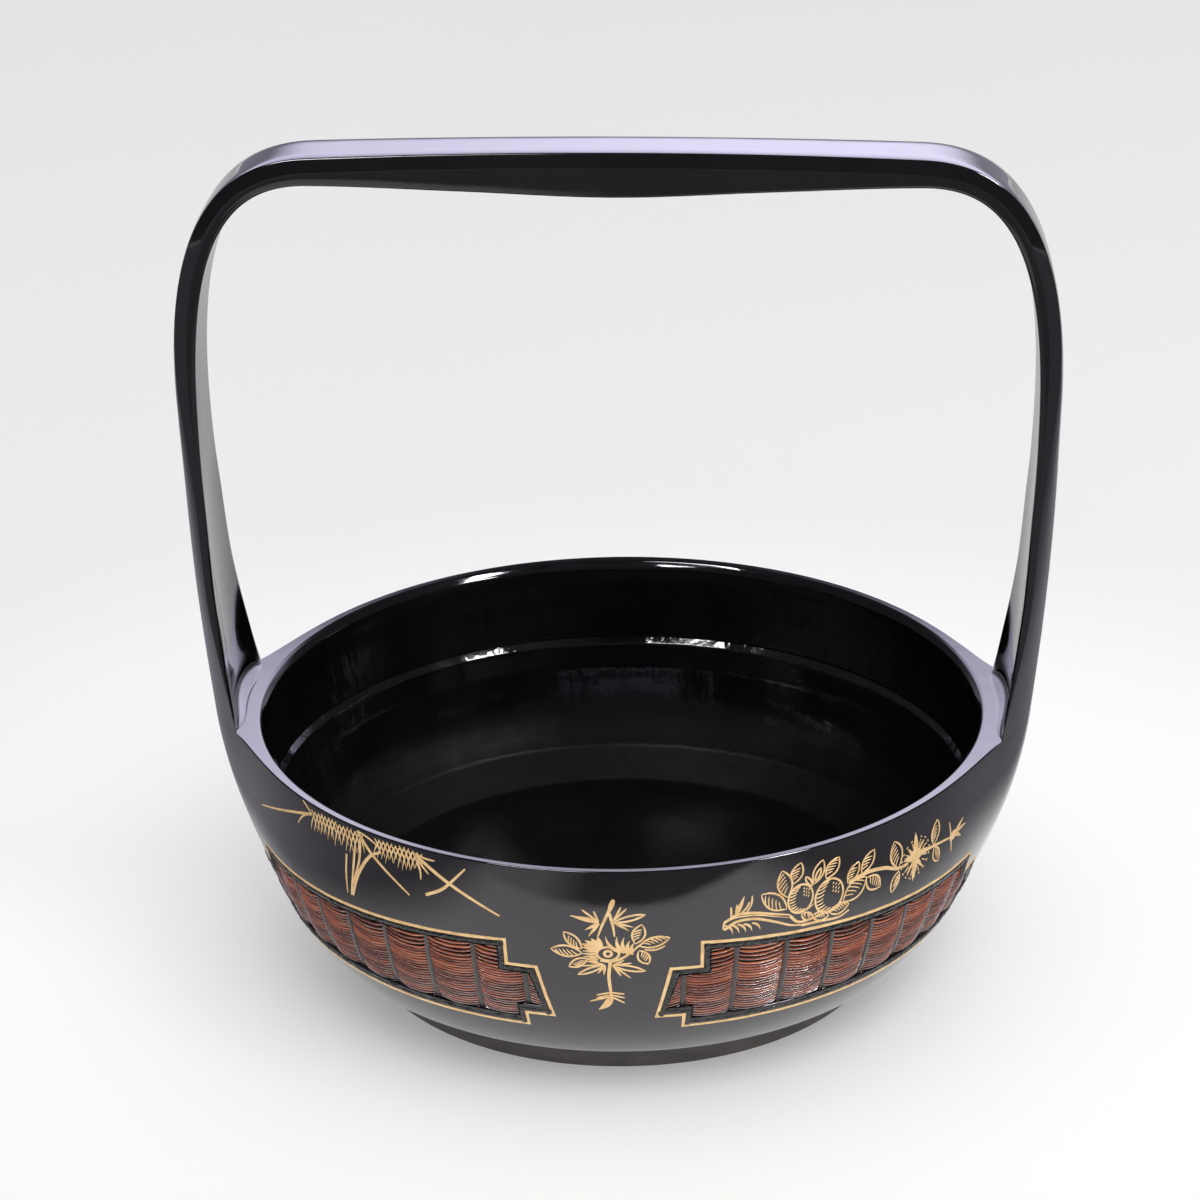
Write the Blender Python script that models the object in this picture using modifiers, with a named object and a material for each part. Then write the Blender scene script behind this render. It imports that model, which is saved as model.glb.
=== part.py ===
"""A lacquered bamboo basket: a round woven bowl on a foot ring, with a fixed arched handle.

Metres, +Z up. The foot stands on z = 0, the bowl's axis is the Z axis and the handle's arch runs along X.
The bowl is built in layers from the outside in: the lacquered outer shell with four stepped windows, the
stakes and the woven wall, and the lining. The handle's two ends are lapped between the shell and the wall.
"""

import math

import bmesh
import bpy
import numpy as np

# Bowl, as its round outer profile in the YZ plane
rim_height = 0.104
rim_radius = 0.1435
belly_radius = 0.144
belly_height = 0.040
floor_swing_radius = 0.126
bottom_radius = 0.1005
foot_height = 0.0102

# Swelling of the bowl's side below each end of the handle
root_swell = 0.0153
root_swell_start = 0.030
root_swell_angle = math.radians(20)
root_swell_falloff = 2.5
root_swell_straight_share = 0.5
root_swell_onset_share = 0.12

# Layers of the wall
gap = 0.0003
shell_thickness = 0.0015
lobe_thickness = 0.0020
valley_depth = 0.0013
lining_thickness = 0.001
lip_height = 0.008
lip_width = 0.002
lip_rounding = 0.005
lip_turns = (math.radians(20), math.radians(45), math.radians(70))
hoop_height = 0.026
hoop_thickness = 0.0014

# Stakes
stake_count = 45
stake_width = 0.0024
stake_clearance = 0.0006
valley_flank = 0.0016

# Foot ring
foot_top_flare = 0.0011
foot_bottom_flare = 0.0019
foot_wall = 0.0045

# Windows in the outer shell, each inside a stepped frame
panel_front_margin = math.radians(7.95)
panel_side_margin = math.radians(12.25)
panel_upper_step_inset = math.radians(2.0)
panel_bottom_inset = math.radians(4.3)
panel_top_inset = math.radians(6.55)
panel_bottom_height = 0.0338
panel_lower_step_rise = 0.0062
panel_upper_step_rise = 0.0226
panel_top_rise = 0.0105
panel_step_fall = 0.0073
panel_top_fall = 0.0098
window_inset = 0.0027
window_cut_reach = 0.030
window_spans = 8

# Handle
arch_height = 0.3275
arch_half_span = 0.1657
shoulder_height = 0.232
corner_start = 0.112
crown_drop = 0.0020
post_swing_share = 0.37
corner_swing_share = 0.62
corner_rise_share = 0.74
level_until_share = 0.36
band_half_width = 0.0132
band_thickness = 0.009
root_half_angle = math.radians(13)
tongue_top_half_angle = math.radians(22)
tongue_tip_half_angle = math.radians(9)
tongue_clearance = 0.0006

# Pegs through each lapped end of the handle
peg_radius = 0.002
peg_clearance = 0.0003
peg_drop = 0.010
peg_reach_share = 0.5

# Places along the profile at which every layer has a row of points, from the bottom towards the lip
row_shares = (0.0, 0.13, 0.27, 0.41, 0.55, 0.68)
tongue_tip_row = 4
turned_steps = 60
samples = 400
sharp_angle = math.radians(35)
root_columns_half_angle = 30
root_column_degrees = 3
side_column_degrees = 6

# Handle sections by their place along the arch: 0 at the rim, 1 at the shoulder, 2 at the bar, 3 at its middle
place_shares = (0.0, 0.33, 0.70, 0.93, 1.15, 1.5, 2.0, 2.5, 3.0)
flare_shares = (1.0, 0.57, 0.28, 0.16, 0.11, 0.10, 0.06, 0.01, 0.0)
thickness_shares = (0.83, 0.95, 1.0, 1.0, 1.0, 1.03, 1.17, 1.57, 1.87)
edge_drop_shares = (1.0, 0.63, 0.54, 0.36, 0.12, 0.09, 0.08, 0.08, 0.08)
edge_thickness_shares = (0.12, 0.34, 0.32, 0.48, 0.83, 0.87, 0.90, 0.93, 0.94)
flatness_shares = (0.0, 0.15, 0.35, 0.7, 1.0, 1.0, 1.0, 1.0, 1.0)
station_shares = (
    0.0, 0.06, 0.14, 0.24, 0.36, 0.5, 0.65, 0.8, 0.92, 1.02, 1.12, 1.22, 1.32,
    1.42, 1.52, 1.62, 1.72, 1.82, 1.92, 2.02, 2.2, 2.4, 2.6, 2.8, 3.0,
)
outer_shares = (-1.0, -0.88, -0.66, -0.35, 0.0, 0.35, 0.66, 0.88, 1.0)
inner_shares = (0.94, 0.7, 0.46, 0.23, 0.0, -0.23, -0.46, -0.7, -0.94)
face_roll_power = 6
edge_share = 0.5
edge_bulge_share = 0.04


def clear_scene():
    for item in list(bpy.data.objects):
        bpy.data.objects.remove(item)


def new_collection(name):
    made = bpy.data.collections.new(name)
    bpy.context.scene.collection.children.link(made)
    return made


def material(name, color, roughness, metallic=0.0, coat=0.0):
    made = bpy.data.materials.new(name)
    made.use_nodes = True
    shader = made.node_tree.nodes["Principled BSDF"]
    shader.inputs["Base Color"].default_value = (*color, 1.0)
    shader.inputs["Roughness"].default_value = roughness
    shader.inputs["Metallic"].default_value = metallic
    shader.inputs["Coat Weight"].default_value = coat
    return made


def black_lacquer():
    return material("black_lacquer", (0.012, 0.011, 0.012), 0.12, coat=1.0)


def dull_lacquer():
    return material("dull_lacquer", (0.035, 0.030, 0.028), 0.45)


def red_bamboo():
    return material("red_bamboo", (0.28, 0.055, 0.02), 0.35)


def dark_bamboo():
    return material("dark_bamboo", (0.05, 0.035, 0.03), 0.45)


def bare_bamboo():
    return material("bare_bamboo", (0.55, 0.42, 0.24), 0.6)


def bare_wood():
    return material("bare_wood", (0.42, 0.29, 0.17), 0.65)


def add_object(name, mesh, collection, finish=None):
    made = bpy.data.objects.new(name, mesh)
    collection.objects.link(made)
    if finish:
        mesh.materials.append(finish)
    return made


def shade_round(mesh):
    mesh.shade_smooth()
    mesh.set_sharp_from_angle(angle=sharp_angle)


# Curves that the pieces share


def bezier(points, shares):
    first, second, third, last = (np.asarray(point, float) for point in points)
    place = np.asarray(shares, float)[..., None]
    rest = 1 - place
    return rest**3 * first + 3 * rest**2 * place * second + 3 * rest * place**2 * third + place**3 * last


def eased(places, values, place):
    """A smooth curve through the values, level at the last of them and where they turn back."""
    places = np.asarray(places, float)
    values = np.asarray(values, float)
    slopes = np.diff(values) / np.diff(places)
    tangents = np.concatenate([slopes[:1], (slopes[1:] + slopes[:-1]) / 2, [0]])
    tangents[1:-1][slopes[1:] * slopes[:-1] <= 0] = 0
    index = int(np.clip(np.searchsorted(places, place) - 1, 0, len(places) - 2))
    width = places[index + 1] - places[index]
    part = (place - places[index]) / width
    start = (1 + 2 * part) * (1 - part) ** 2 * values[index] + part * (1 - part) ** 2 * width * tangents[index]
    end = part**2 * (3 - 2 * part) * values[index + 1] + part**2 * (part - 1) * width * tangents[index + 1]
    return float(start + end)


def bowl_bottom():
    return foot_height + gap


def bowl_curve():
    return (
        (bottom_radius, bowl_bottom()),
        (floor_swing_radius, bowl_bottom() - 3 * gap),
        (belly_radius, belly_height),
        (rim_radius, rim_height),
    )


def bowl_profile(shares, depth=0.0):
    """Radius and height of the bowl's round profile, moved inwards by depth along its normal."""
    shares = np.asarray(shares, float)
    step = 1 / samples
    points = bezier(bowl_curve(), shares)
    ahead = bezier(bowl_curve(), shares + step) - bezier(bowl_curve(), shares - step)
    ahead /= np.linalg.norm(ahead, axis=-1, keepdims=True)
    inwards = np.stack([-ahead[..., 1], ahead[..., 0]], axis=-1)
    return points + depth * inwards


def share_at_height(height):
    shares = np.linspace(0, 1, samples + 1)
    return float(np.interp(height, bowl_profile(shares)[:, 1], shares))


def swell(angle, height):
    """How far the bowl's side stands out beyond its round profile, below and at the handle's ends."""
    ratio = (height - root_swell_start) / (rim_height - root_swell_start)
    onset = root_swell_onset_share
    full = (1 + math.hypot(1, onset)) / 2
    ratio = min((ratio + math.hypot(ratio, onset)) / 2 / full, 1)
    rise = root_swell_straight_share * ratio + (1 - root_swell_straight_share) * (1 - (1 - ratio) ** 2)
    off_axis = abs((angle + math.pi / 2) % math.pi - math.pi / 2)
    return root_swell * rise / (1 + (off_axis / root_swell_angle) ** 2) ** root_swell_falloff


def round_point(radius, angle, height):
    return (radius * math.cos(angle), radius * math.sin(angle), height)


# Meshes


def mesh_from(name, points, faces):
    mesh = bpy.data.meshes.new(name)
    mesh.from_pydata([tuple(map(float, point)) for point in points], [], faces)
    mesh.validate()
    shade_round(mesh)
    return mesh


def loft_faces(rings, around, first_cap=True, last_cap=True):
    """Faces between closed rings of points. A ring lists its points clockwise as seen from the last ring."""
    faces = []
    for ring in range(rings - 1):
        low = ring * around
        for place in range(around):
            after = (place + 1) % around
            faces.append((low + place, low + around + place, low + around + after, low + after))
    if first_cap:
        faces.append(tuple(range(around)))
    if last_cap:
        faces.append(tuple(reversed(range((rings - 1) * around, rings * around))))
    return faces


def ring_loft(sections):
    """Points and faces of a closed hoop whose cross-sections follow one another around the axis."""
    around = len(sections[0])
    points = [point for section in sections for point in section]
    faces = loft_faces(len(sections), around, False, False)
    last = (len(sections) - 1) * around
    for place in range(around):
        after = (place + 1) % around
        faces.append((last + place, place, after, last + after))
    return points, faces


def turned(name, profile, collection, finish):
    """A solid turned about Z. Its profile runs down the outer side, then up the inner side or to the axis."""
    on_axis = bool(profile[0][0] == 0)
    count = len(profile)
    mesh = bpy.data.meshes.new(name)
    edges = [(place, (place + 1) % count) for place in range(count - 1 if on_axis else count)]
    mesh.from_pydata([(float(radius), 0.0, float(height)) for radius, height in profile], edges, [])
    made = add_object(name, mesh, collection, finish)
    screw = made.modifiers.new("turn", "SCREW")
    screw.axis = "Z"
    screw.steps = turned_steps
    screw.render_steps = turned_steps
    screw.use_merge_vertices = on_axis
    screw.merge_threshold = 0.00001
    screw.use_smooth_shade = True
    return made


def cut(target, cutter):
    made = target.modifiers.new("cut_" + cutter.name, "BOOLEAN")
    made.operation = "DIFFERENCE"
    made.solver = "EXACT"
    made.object = cutter


def hide_helper(cutter):
    cutter.hide_render = True
    cutter.display_type = "WIRE"


# Base and foot


def make_foot_ring(collection, finish):
    top = bottom_radius + foot_top_flare
    bottom = bottom_radius + foot_bottom_flare
    profile = [(top, foot_height), (bottom, 0), (bottom - foot_wall, 0), (top - foot_wall, foot_height)]
    return turned("foot_ring", profile, collection, finish)


def make_base_board(collection, finish):
    radius = bottom_radius - gap
    top = bowl_bottom() + wall_depth()
    profile = [(0, top), (radius, top), (radius, bowl_bottom()), (0, bowl_bottom())]
    return turned("base_board", profile, collection, finish)


# Layers of the bowl's wall


def lobe_depth():
    return shell_thickness + gap


def wall_depth():
    return lobe_depth() + lobe_thickness


def lining_depth():
    return wall_depth() + gap


def hoop_bottom():
    """Where the inner hoop's lower edge lies along the profile."""
    return share_at_height(rim_height - lip_height - hoop_height)


def under_lip_rows():
    """The shared rows, ending just below the lip."""
    return [*row_shares, hoop_bottom(), share_at_height(rim_height - lip_height - gap)]


def full_rows():
    """The shared rows, up to the top of the rim."""
    return [*under_lip_rows(), 1.0]


def layer_profile(outer_depth, inner_depth, rows):
    """A closed profile between two depths, down its outer side and up its inner side."""
    outer = bowl_profile(rows, outer_depth)
    inner = bowl_profile(rows, inner_depth)
    inner[-1, 1] = outer[-1, 1]
    return [tuple(point) for point in outer[::-1]] + [tuple(point) for point in inner]


def stake_angles():
    pitch = 2 * math.pi / stake_count
    return [-math.pi / 2 + (index + 0.5) * pitch for index in range(stake_count)]


def make_lining(collection, finish):
    """The lacquered lining: a floor over the base board, and a wall up to the inner hoop."""
    rows = [*row_shares, share_at_height(rim_height - lip_height - hoop_height - gap)]
    outer = bowl_profile(rows, lining_depth())
    inner = bowl_profile(rows, lining_depth() + lining_thickness)
    inner[-1, 1] = outer[-1, 1]
    floor_top = inner[0, 1]
    floor_under = outer[0, 1]
    profile = [(0, floor_top)] + [tuple(point) for point in inner]
    profile += [tuple(point) for point in outer[::-1]] + [(0, floor_under)]
    return turned("inner_lining", profile, collection, finish)


def make_inner_hoop(collection, finish):
    """The broad hoop inside the rim, which stands a little proud of the lining below it."""
    rows = under_lip_rows()[len(row_shares):]
    profile = layer_profile(lining_depth(), lining_depth() + hoop_thickness, rows)
    return turned("inner_hoop", profile, collection, finish)


def make_rim_hoop(collection, finish):
    """The hoop that closes the rim: flat on top, with a round lip on its inner side."""
    bottom = rim_height - lip_height
    outer = bowl_profile([share_at_height(bottom), 1], lobe_depth())[:, 0]
    inner = rim_radius - lining_depth() - hoop_thickness
    profile = [(outer[1], rim_height), (outer[0], bottom), (inner, bottom), (inner, rim_height - lip_rounding)]
    for turn in lip_turns:
        drop = lip_rounding * (1 - math.sin(turn))
        profile.append((inner + lip_width * (1 - math.cos(turn)), rim_height - drop))
    profile.append((inner + lip_width, rim_height))
    return turned("rim_hoop", profile, collection, finish)


def wall_columns():
    """Angle of each column of the woven wall, and whether it lies in a stake's valley."""
    columns = []
    half_valley = (stake_width / 2 + stake_clearance) / rim_radius
    flank = valley_flank / rim_radius
    for angle in stake_angles():
        columns.append((angle - half_valley - flank, False))
        columns.append((angle - half_valley, True))
        columns.append((angle + half_valley, True))
        columns.append((angle + half_valley + flank, False))
    return columns


def make_woven_wall(collection, finish):
    """The woven wall, which bulges in a lobe between each two stakes."""
    rows = under_lip_rows()
    inner = bowl_profile(rows, wall_depth())
    lobe = bowl_profile(rows, lobe_depth())
    valley = bowl_profile(rows, lobe_depth() + valley_depth)
    inner[-1, 1] = valley[-1, 1] = lobe[-1, 1]
    sections = []
    for angle, in_valley in wall_columns():
        outer = valley if in_valley else lobe
        section = [round_point(radius, angle, height) for radius, height in outer[::-1]]
        section += [round_point(radius, angle, height) for radius, height in inner]
        sections.append(section)
    points, faces = ring_loft(sections)
    return add_object("woven_wall", mesh_from("woven_wall", points, faces), collection, finish)


def make_stake(index, angle, collection, finish):
    """A flat bamboo stake lying along a meridian in its valley."""
    name = f"stake_{index + 1:02d}"
    rows = under_lip_rows()
    outer = bowl_profile(rows, lobe_depth())
    inner = bowl_profile(rows, lobe_depth() + valley_depth - gap)
    inner[-1, 1] = outer[-1, 1]
    half_stake = stake_width / 2 / rim_radius
    points = []
    for (outer_radius, outer_height), (inner_radius, inner_height) in zip(outer, inner):
        for radius, height, turn in (
            (outer_radius, outer_height, -1),
            (outer_radius, outer_height, 1),
            (inner_radius, inner_height, 1),
            (inner_radius, inner_height, -1),
        ):
            points.append(round_point(radius, angle + turn * half_stake, height))
    faces = loft_faces(len(rows), 4)
    return add_object(name, mesh_from(name, points, [face[::-1] for face in faces]), collection, finish)


def shell_angles():
    """Columns of the outer shell, closer together below the handle's ends."""
    fine = range(-root_columns_half_angle, root_columns_half_angle, root_column_degrees)
    coarse = range(root_columns_half_angle, 180 - root_columns_half_angle, side_column_degrees)
    half = [math.radians(angle) for angle in [*fine, *coarse]]
    return half + [angle + math.pi for angle in half]


def make_outer_shell(collection, helpers, finish):
    """The lacquered outer shell, round but for its swellings at the handle, with four stepped windows."""
    outer = bowl_profile(full_rows())
    inner = bowl_profile(full_rows(), shell_thickness)
    inner[-1, 1] = outer[-1, 1]
    sections = []
    for angle in shell_angles():
        section = [
            round_point(radius + swell(angle, height), angle, height) for radius, height in outer[::-1]
        ]
        section += [
            round_point(in_radius + swell(angle, out_height), angle, in_height)
            for (in_radius, in_height), (_, out_height) in zip(inner, outer)
        ]
        sections.append(section)
    points, faces = ring_loft(sections)
    shell = add_object("outer_shell", mesh_from("outer_shell", points, faces), collection, finish)
    for number, middle in enumerate(window_middles()):
        cut(shell, make_window_cutter(number, middle, helpers))
    return shell


def window_middles():
    """The angle of each window's middle, two on each side of the handle."""
    offset = (math.pi / 2 + panel_front_margin - panel_side_margin) / 2
    front = -math.pi / 2
    back = math.pi / 2
    return (front + offset, front - offset, back + offset, back - offset)


def window_side(step_fall, top_fall):
    """One side of a window's stepped outline, as angle from its middle and height, from the top down."""
    widest = (math.pi / 2 - panel_front_margin - panel_side_margin) / 2 - window_inset / rim_radius
    lower_step = panel_bottom_height + panel_lower_step_rise + window_inset
    upper_step = panel_bottom_height + panel_lower_step_rise + panel_upper_step_rise - window_inset
    return (
        (widest - panel_top_inset, upper_step + panel_top_rise - top_fall),
        (widest - panel_top_inset, upper_step - step_fall),
        (widest - panel_upper_step_inset, upper_step - step_fall),
        (widest, lower_step),
        (widest - panel_bottom_inset, lower_step),
        (widest - panel_bottom_inset, panel_bottom_height + window_inset),
    )


def window_outline():
    """A window's whole outline, which sinks towards the handle on the side of the positive angles."""
    far_side = window_side(panel_step_fall, panel_top_fall)
    near_side = window_side(0, 0)
    top_angle, top = near_side[0]
    bottom_angle, bottom = near_side[-1]
    outline = list(far_side)
    for place in range(1, window_spans):
        outline.append((bottom_angle * (1 - 2 * place / window_spans), bottom))
    outline += [(-angle, height) for angle, height in reversed(near_side)]
    for place in range(1, window_spans):
        share = place / window_spans
        outline.append((top_angle * (2 * share - 1), top - panel_top_fall * share))
    return outline


def make_window_cutter(number, middle, helpers):
    outline = window_outline()
    if number % 2:
        outline = [(-angle, height) for angle, height in reversed(outline)]
    near = bottom_radius
    far = rim_radius + root_swell + window_cut_reach
    rings = [
        [round_point(radius, middle + angle, height) for angle, height in outline]
        for radius in (near, far)
    ]
    points = rings[0] + rings[1]
    faces = loft_faces(2, len(outline))
    name = f"window_cutter_{number + 1}"
    cutter = add_object(name, mesh_from(name, points, faces), helpers)
    hide_helper(cutter)
    return cutter


# Handle


def arch_point(place):
    """Point (X, Z) of the outer middle line of the handle, by its place along the arch."""
    rim = np.array([rim_radius + root_swell, rim_height])
    shoulder = np.array([arch_half_span, shoulder_height])
    bar = np.array([corner_start, arch_height - crown_drop])
    post_rise = (shoulder_height - rim_height) * post_swing_share
    corner_width = arch_half_span - corner_start
    corner_rise = arch_height - crown_drop - shoulder_height
    if place <= 1:
        lean = root_swell * root_swell_straight_share / (rim_height - root_swell_start)
        points = (rim, rim + post_rise * np.array([lean, 1]), shoulder - post_rise * np.array([0, 1]), shoulder)
        return bezier(points, place)
    if place <= 2:
        slope = 2 * crown_drop / corner_start
        towards_bar = bar + corner_width * corner_swing_share * np.array([1, -slope])
        points = (shoulder, shoulder + corner_rise * corner_rise_share * np.array([0, 1]), towards_bar, bar)
        return bezier(points, place - 1)
    share = 3 - place
    return np.array([corner_start * share, arch_height - crown_drop * share**2])


def arch_normal(place):
    """Outward normal of the arch in the XZ plane, level at the rim."""
    step = 1 / samples
    ahead = arch_point(min(place + step, 3)) - arch_point(max(place - step, 0))
    normal = np.array([ahead[1], -ahead[0]])
    normal /= np.linalg.norm(normal)
    if place >= 3:
        return np.array([0.0, 1.0])
    settle = min(place / level_until_share, 1)
    level = np.array([1.0, 0.0])
    normal = level + settle * (normal - level)
    return normal / np.linalg.norm(normal)


def root_curve(share):
    """Drop and side place of the swollen rim's outline, by its share of the root's half angle."""
    angle = share * root_half_angle
    radius = rim_radius + swell(angle, rim_height)
    return rim_radius + root_swell - radius * math.cos(angle), radius * math.sin(angle)


def handle_section(place):
    root_drop, root_side = root_curve(1)
    half_width = band_half_width + (root_side - band_half_width) * eased(place_shares, flare_shares, place)
    thickness = band_thickness * eased(place_shares, thickness_shares, place)
    edge_drop = root_drop * eased(place_shares, edge_drop_shares, place)
    edge_thickness = thickness * eased(place_shares, edge_thickness_shares, place)
    hollow = edge_drop + edge_thickness - thickness
    flatness = eased(place_shares, flatness_shares, place)
    centre = arch_point(place)
    normal = arch_normal(place)

    def at(depth, side):
        x, z = centre - depth * normal
        return (x, side, z)

    outer = []
    for share in outer_shares:
        drop, side = root_curve(share)
        bend = (1 - flatness) * drop / root_drop + flatness * share**face_roll_power
        outer.append((edge_drop * bend, half_width * side / root_side))
    inner = [(thickness + hollow * share**2, half_width * share) for share in inner_shares]
    edges = []
    for start, end in ((outer[-1], inner[0]), (inner[-1], outer[0])):
        bulge = half_width * edge_bulge_share * math.copysign(1, start[1])
        depth = start[0] + edge_share * (end[0] - start[0])
        side = start[1] + edge_share * (end[1] - start[1]) + bulge
        edges.append((depth, side))
    section = outer + edges[:1] + inner + edges[1:]
    return [at(depth, side) for depth, side in section]


def tongue_section(row):
    """Section of the lapped end at one of the shared rows, between the woven wall and the outer shell."""
    first = row_shares[tongue_tip_row]
    share = (row - first) / (1 - first)
    half_angle = tongue_tip_half_angle + share * (tongue_top_half_angle - tongue_tip_half_angle)
    height = bowl_profile([row])[0, 1]
    in_radius, in_height = bowl_profile([row], shell_thickness)[0]
    out_radius, out_height = bowl_profile([row], shell_thickness + tongue_clearance)[0]
    if row == 1:
        in_height = out_height = rim_height

    def outer_point(turn):
        angle = turn * half_angle
        return round_point(out_radius + swell(angle, height), angle, out_height)

    def inner_point(turn):
        return round_point(in_radius, turn * half_angle, in_height)

    outer = [outer_point(turn) for turn in outer_shares]
    inner = [inner_point(turn) for turn in inner_shares]
    edges = []
    for turn in (1, -1):
        start = np.array(outer_point(turn))
        end = np.array(inner_point(turn))
        edges.append(tuple(start + edge_share * (end - start)))
    return outer + edges[:1] + inner + edges[1:]


def make_handle(collection, helpers, finish):
    """One bent band. Each end flares, steps in at the rim and runs down as a lapped tongue."""
    rings = [tongue_section(row) for row in full_rows()[tongue_tip_row:]]
    for place in station_shares:
        ring = handle_section(place)
        if place == 0:
            ring = [(x, y, z + gap) for x, y, z in ring]
        if place == 3:
            ring = [(0, y, z) for x, y, z in ring]
        rings.append(ring)
    points = [point for ring in rings for point in ring]
    faces = loft_faces(len(rings), len(rings[0]), True, False)
    handle = add_object("handle", mesh_from("handle", points, [face[::-1] for face in faces]), collection, finish)
    mirror = handle.modifiers.new("other_half", "MIRROR")
    mirror.use_axis = (True, False, False)
    mirror.use_mirror_merge = True
    mirror.merge_threshold = 0.00001
    for cutter in helpers:
        cut(handle, cutter)
    return handle


# Pegs


def peg_angles():
    """The angle of each peg: two in each end of the handle, midway between stakes."""
    pitch = 2 * math.pi / stake_count
    near = min(stake_angles(), key=abs)
    angles = (near - pitch / 2, near + pitch / 2)
    return [*angles, *[math.pi - angle for angle in angles]]


def peg_height():
    return rim_height - lip_height - peg_drop


def peg_start():
    """Radius of a peg's inner end, inside the woven wall."""
    return bowl_profile([share_at_height(peg_height())], wall_depth())[0, 0] + gap


def peg_length(angle):
    reach = bowl_profile([share_at_height(peg_height())])[0, 0]
    return reach + peg_reach_share * swell(angle, peg_height()) - peg_start()


def rod(name, radius, length, angle, start, collection, finish=None):
    """A round rod that points away from the bowl's axis."""
    mesh = bpy.data.meshes.new(name)
    shape = bmesh.new()
    bmesh.ops.create_cone(
        shape, cap_ends=True, segments=12, radius1=radius, radius2=radius, depth=length
    )
    shape.to_mesh(mesh)
    shape.free()
    shade_round(mesh)
    made = add_object(name, mesh, collection, finish)
    made.rotation_euler = (0, math.pi / 2, angle)
    made.location = round_point(start + length / 2, angle, peg_height())
    return made


def make_peg(index, angle, collection, finish):
    return rod(f"peg_{index + 1}", peg_radius, peg_length(angle), angle, peg_start(), collection, finish)


def make_peg_cutter(index, angle, helpers):
    start = peg_start() - peg_length(angle)
    length = 2 * peg_length(angle) + peg_clearance
    cutter = rod(f"peg_cutter_{index + 1}", peg_radius + peg_clearance, length, angle, start, helpers)
    hide_helper(cutter)
    return cutter


def main():
    clear_scene()
    basket = new_collection("bamboo_basket")
    helpers = new_collection("cutters")
    lacquer = black_lacquer()
    dull = dull_lacquer()
    stake_finish = dark_bamboo()
    bamboo = bare_bamboo()

    make_foot_ring(basket, dull)
    make_base_board(basket, bare_wood())
    make_lining(basket, lacquer)
    make_inner_hoop(basket, lacquer)
    make_rim_hoop(basket, lacquer)
    make_outer_shell(basket, helpers, lacquer)
    for index, angle in enumerate(stake_angles()):
        make_stake(index, angle, basket, stake_finish)

    peg_cutters = []
    for index, angle in enumerate(peg_angles()):
        make_peg(index, angle, basket, bamboo)
        peg_cutters.append(make_peg_cutter(index, angle, helpers))
    wall = make_woven_wall(basket, red_bamboo())
    for cutter in peg_cutters:
        cut(wall, cutter)
    make_handle(basket, peg_cutters, lacquer)


main()
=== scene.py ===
"""A black lacquered bamboo basket with a fixed arched handle, set on a pale studio floor.

Metres, +Z up. The bowl's axis is the Z axis and the handle's arch runs along X. Angles run round the bowl's
axis from +X. A share runs along the bowl's profile, from 0 at its bottom to 1 at its rim, and a depth is
measured inwards from the bowl's outer surface.
"""

import math
import random

import bpy
import numpy as np
from mathutils import Matrix, Vector
from mathutils.geometry import delaunay_2d_cdt


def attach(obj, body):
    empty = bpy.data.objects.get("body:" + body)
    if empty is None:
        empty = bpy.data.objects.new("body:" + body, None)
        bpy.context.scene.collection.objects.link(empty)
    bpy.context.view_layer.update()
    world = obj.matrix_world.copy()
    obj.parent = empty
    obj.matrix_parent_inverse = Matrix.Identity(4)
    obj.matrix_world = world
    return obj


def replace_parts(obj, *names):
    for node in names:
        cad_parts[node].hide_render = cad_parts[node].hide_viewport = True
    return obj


# Bowl, as its round outer profile in the YZ plane
rim_height = 0.104
rim_radius = 0.1435
belly_radius = 0.144
belly_height = 0.040
floor_swing_radius = 0.126
bottom_radius = 0.1005
foot_height = 0.0102

# Swelling of the bowl's side below each end of the handle
root_swell = 0.0153
root_swell_start = 0.030
root_swell_angle = math.radians(20)
root_swell_falloff = 2.5
root_swell_straight_share = 0.5
root_swell_onset_share = 0.12

# Layers of the wall
gap = 0.0003
skin = 0.0001
shell_thickness = 0.0015
lobe_thickness = 0.0020
valley_depth = 0.0013
lining_thickness = 0.001
lip_height = 0.008
lip_width = 0.0021
lip_rounding = 0.0029
lip_fall = 0.0003
rim_tilt = math.radians(8)
lip_turn = 0.0007
hoop_height = 0.026
hoop_thickness = 0.0014
ledge_width = 0.0006
lining_foot_share = 0.25
lining_steep_share = 0.50
lining_bend_reach = 0.0012
ledge_fall = 0.0033
ledge_swell = 0.0012
ledge_swell_height = 0.011
ledge_turn = 0.0006
ripple_start = 0.004
ripple_full = 0.02
stake_ripple = 0.00009
brush_ripple = 0.0003
worn_height = 0.026
glossy_height = 0.050
rim_rounding = 0.0006
rim_band = 0.0024

# Stakes and strands
stake_count = 45
stake_width = 0.0021
stake_clearance = 0.0006
stake_cover = 0.0012
strand_pitch = 0.00128
strand_radius = 0.00041
top_strand_pitch = 0.00182
top_strand_radius = 0.00048
top_strand_count = 5
lobe_cover = 0.0007
valley_cover = 0.0024
lobe_fullness = 0.55
backing_cover = 0.0006
strand_steps_per_stake = 12
strand_sides = 7
strand_flatness = 0.85
strand_wobble = 0.00008
strand_droop = 0.0011
strand_overrun = 0.0014

# Foot ring
foot_top_flare = 0.0011
foot_bottom_flare = 0.0019
foot_wall = 0.0045
foot_rounding = 0.0005

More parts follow.
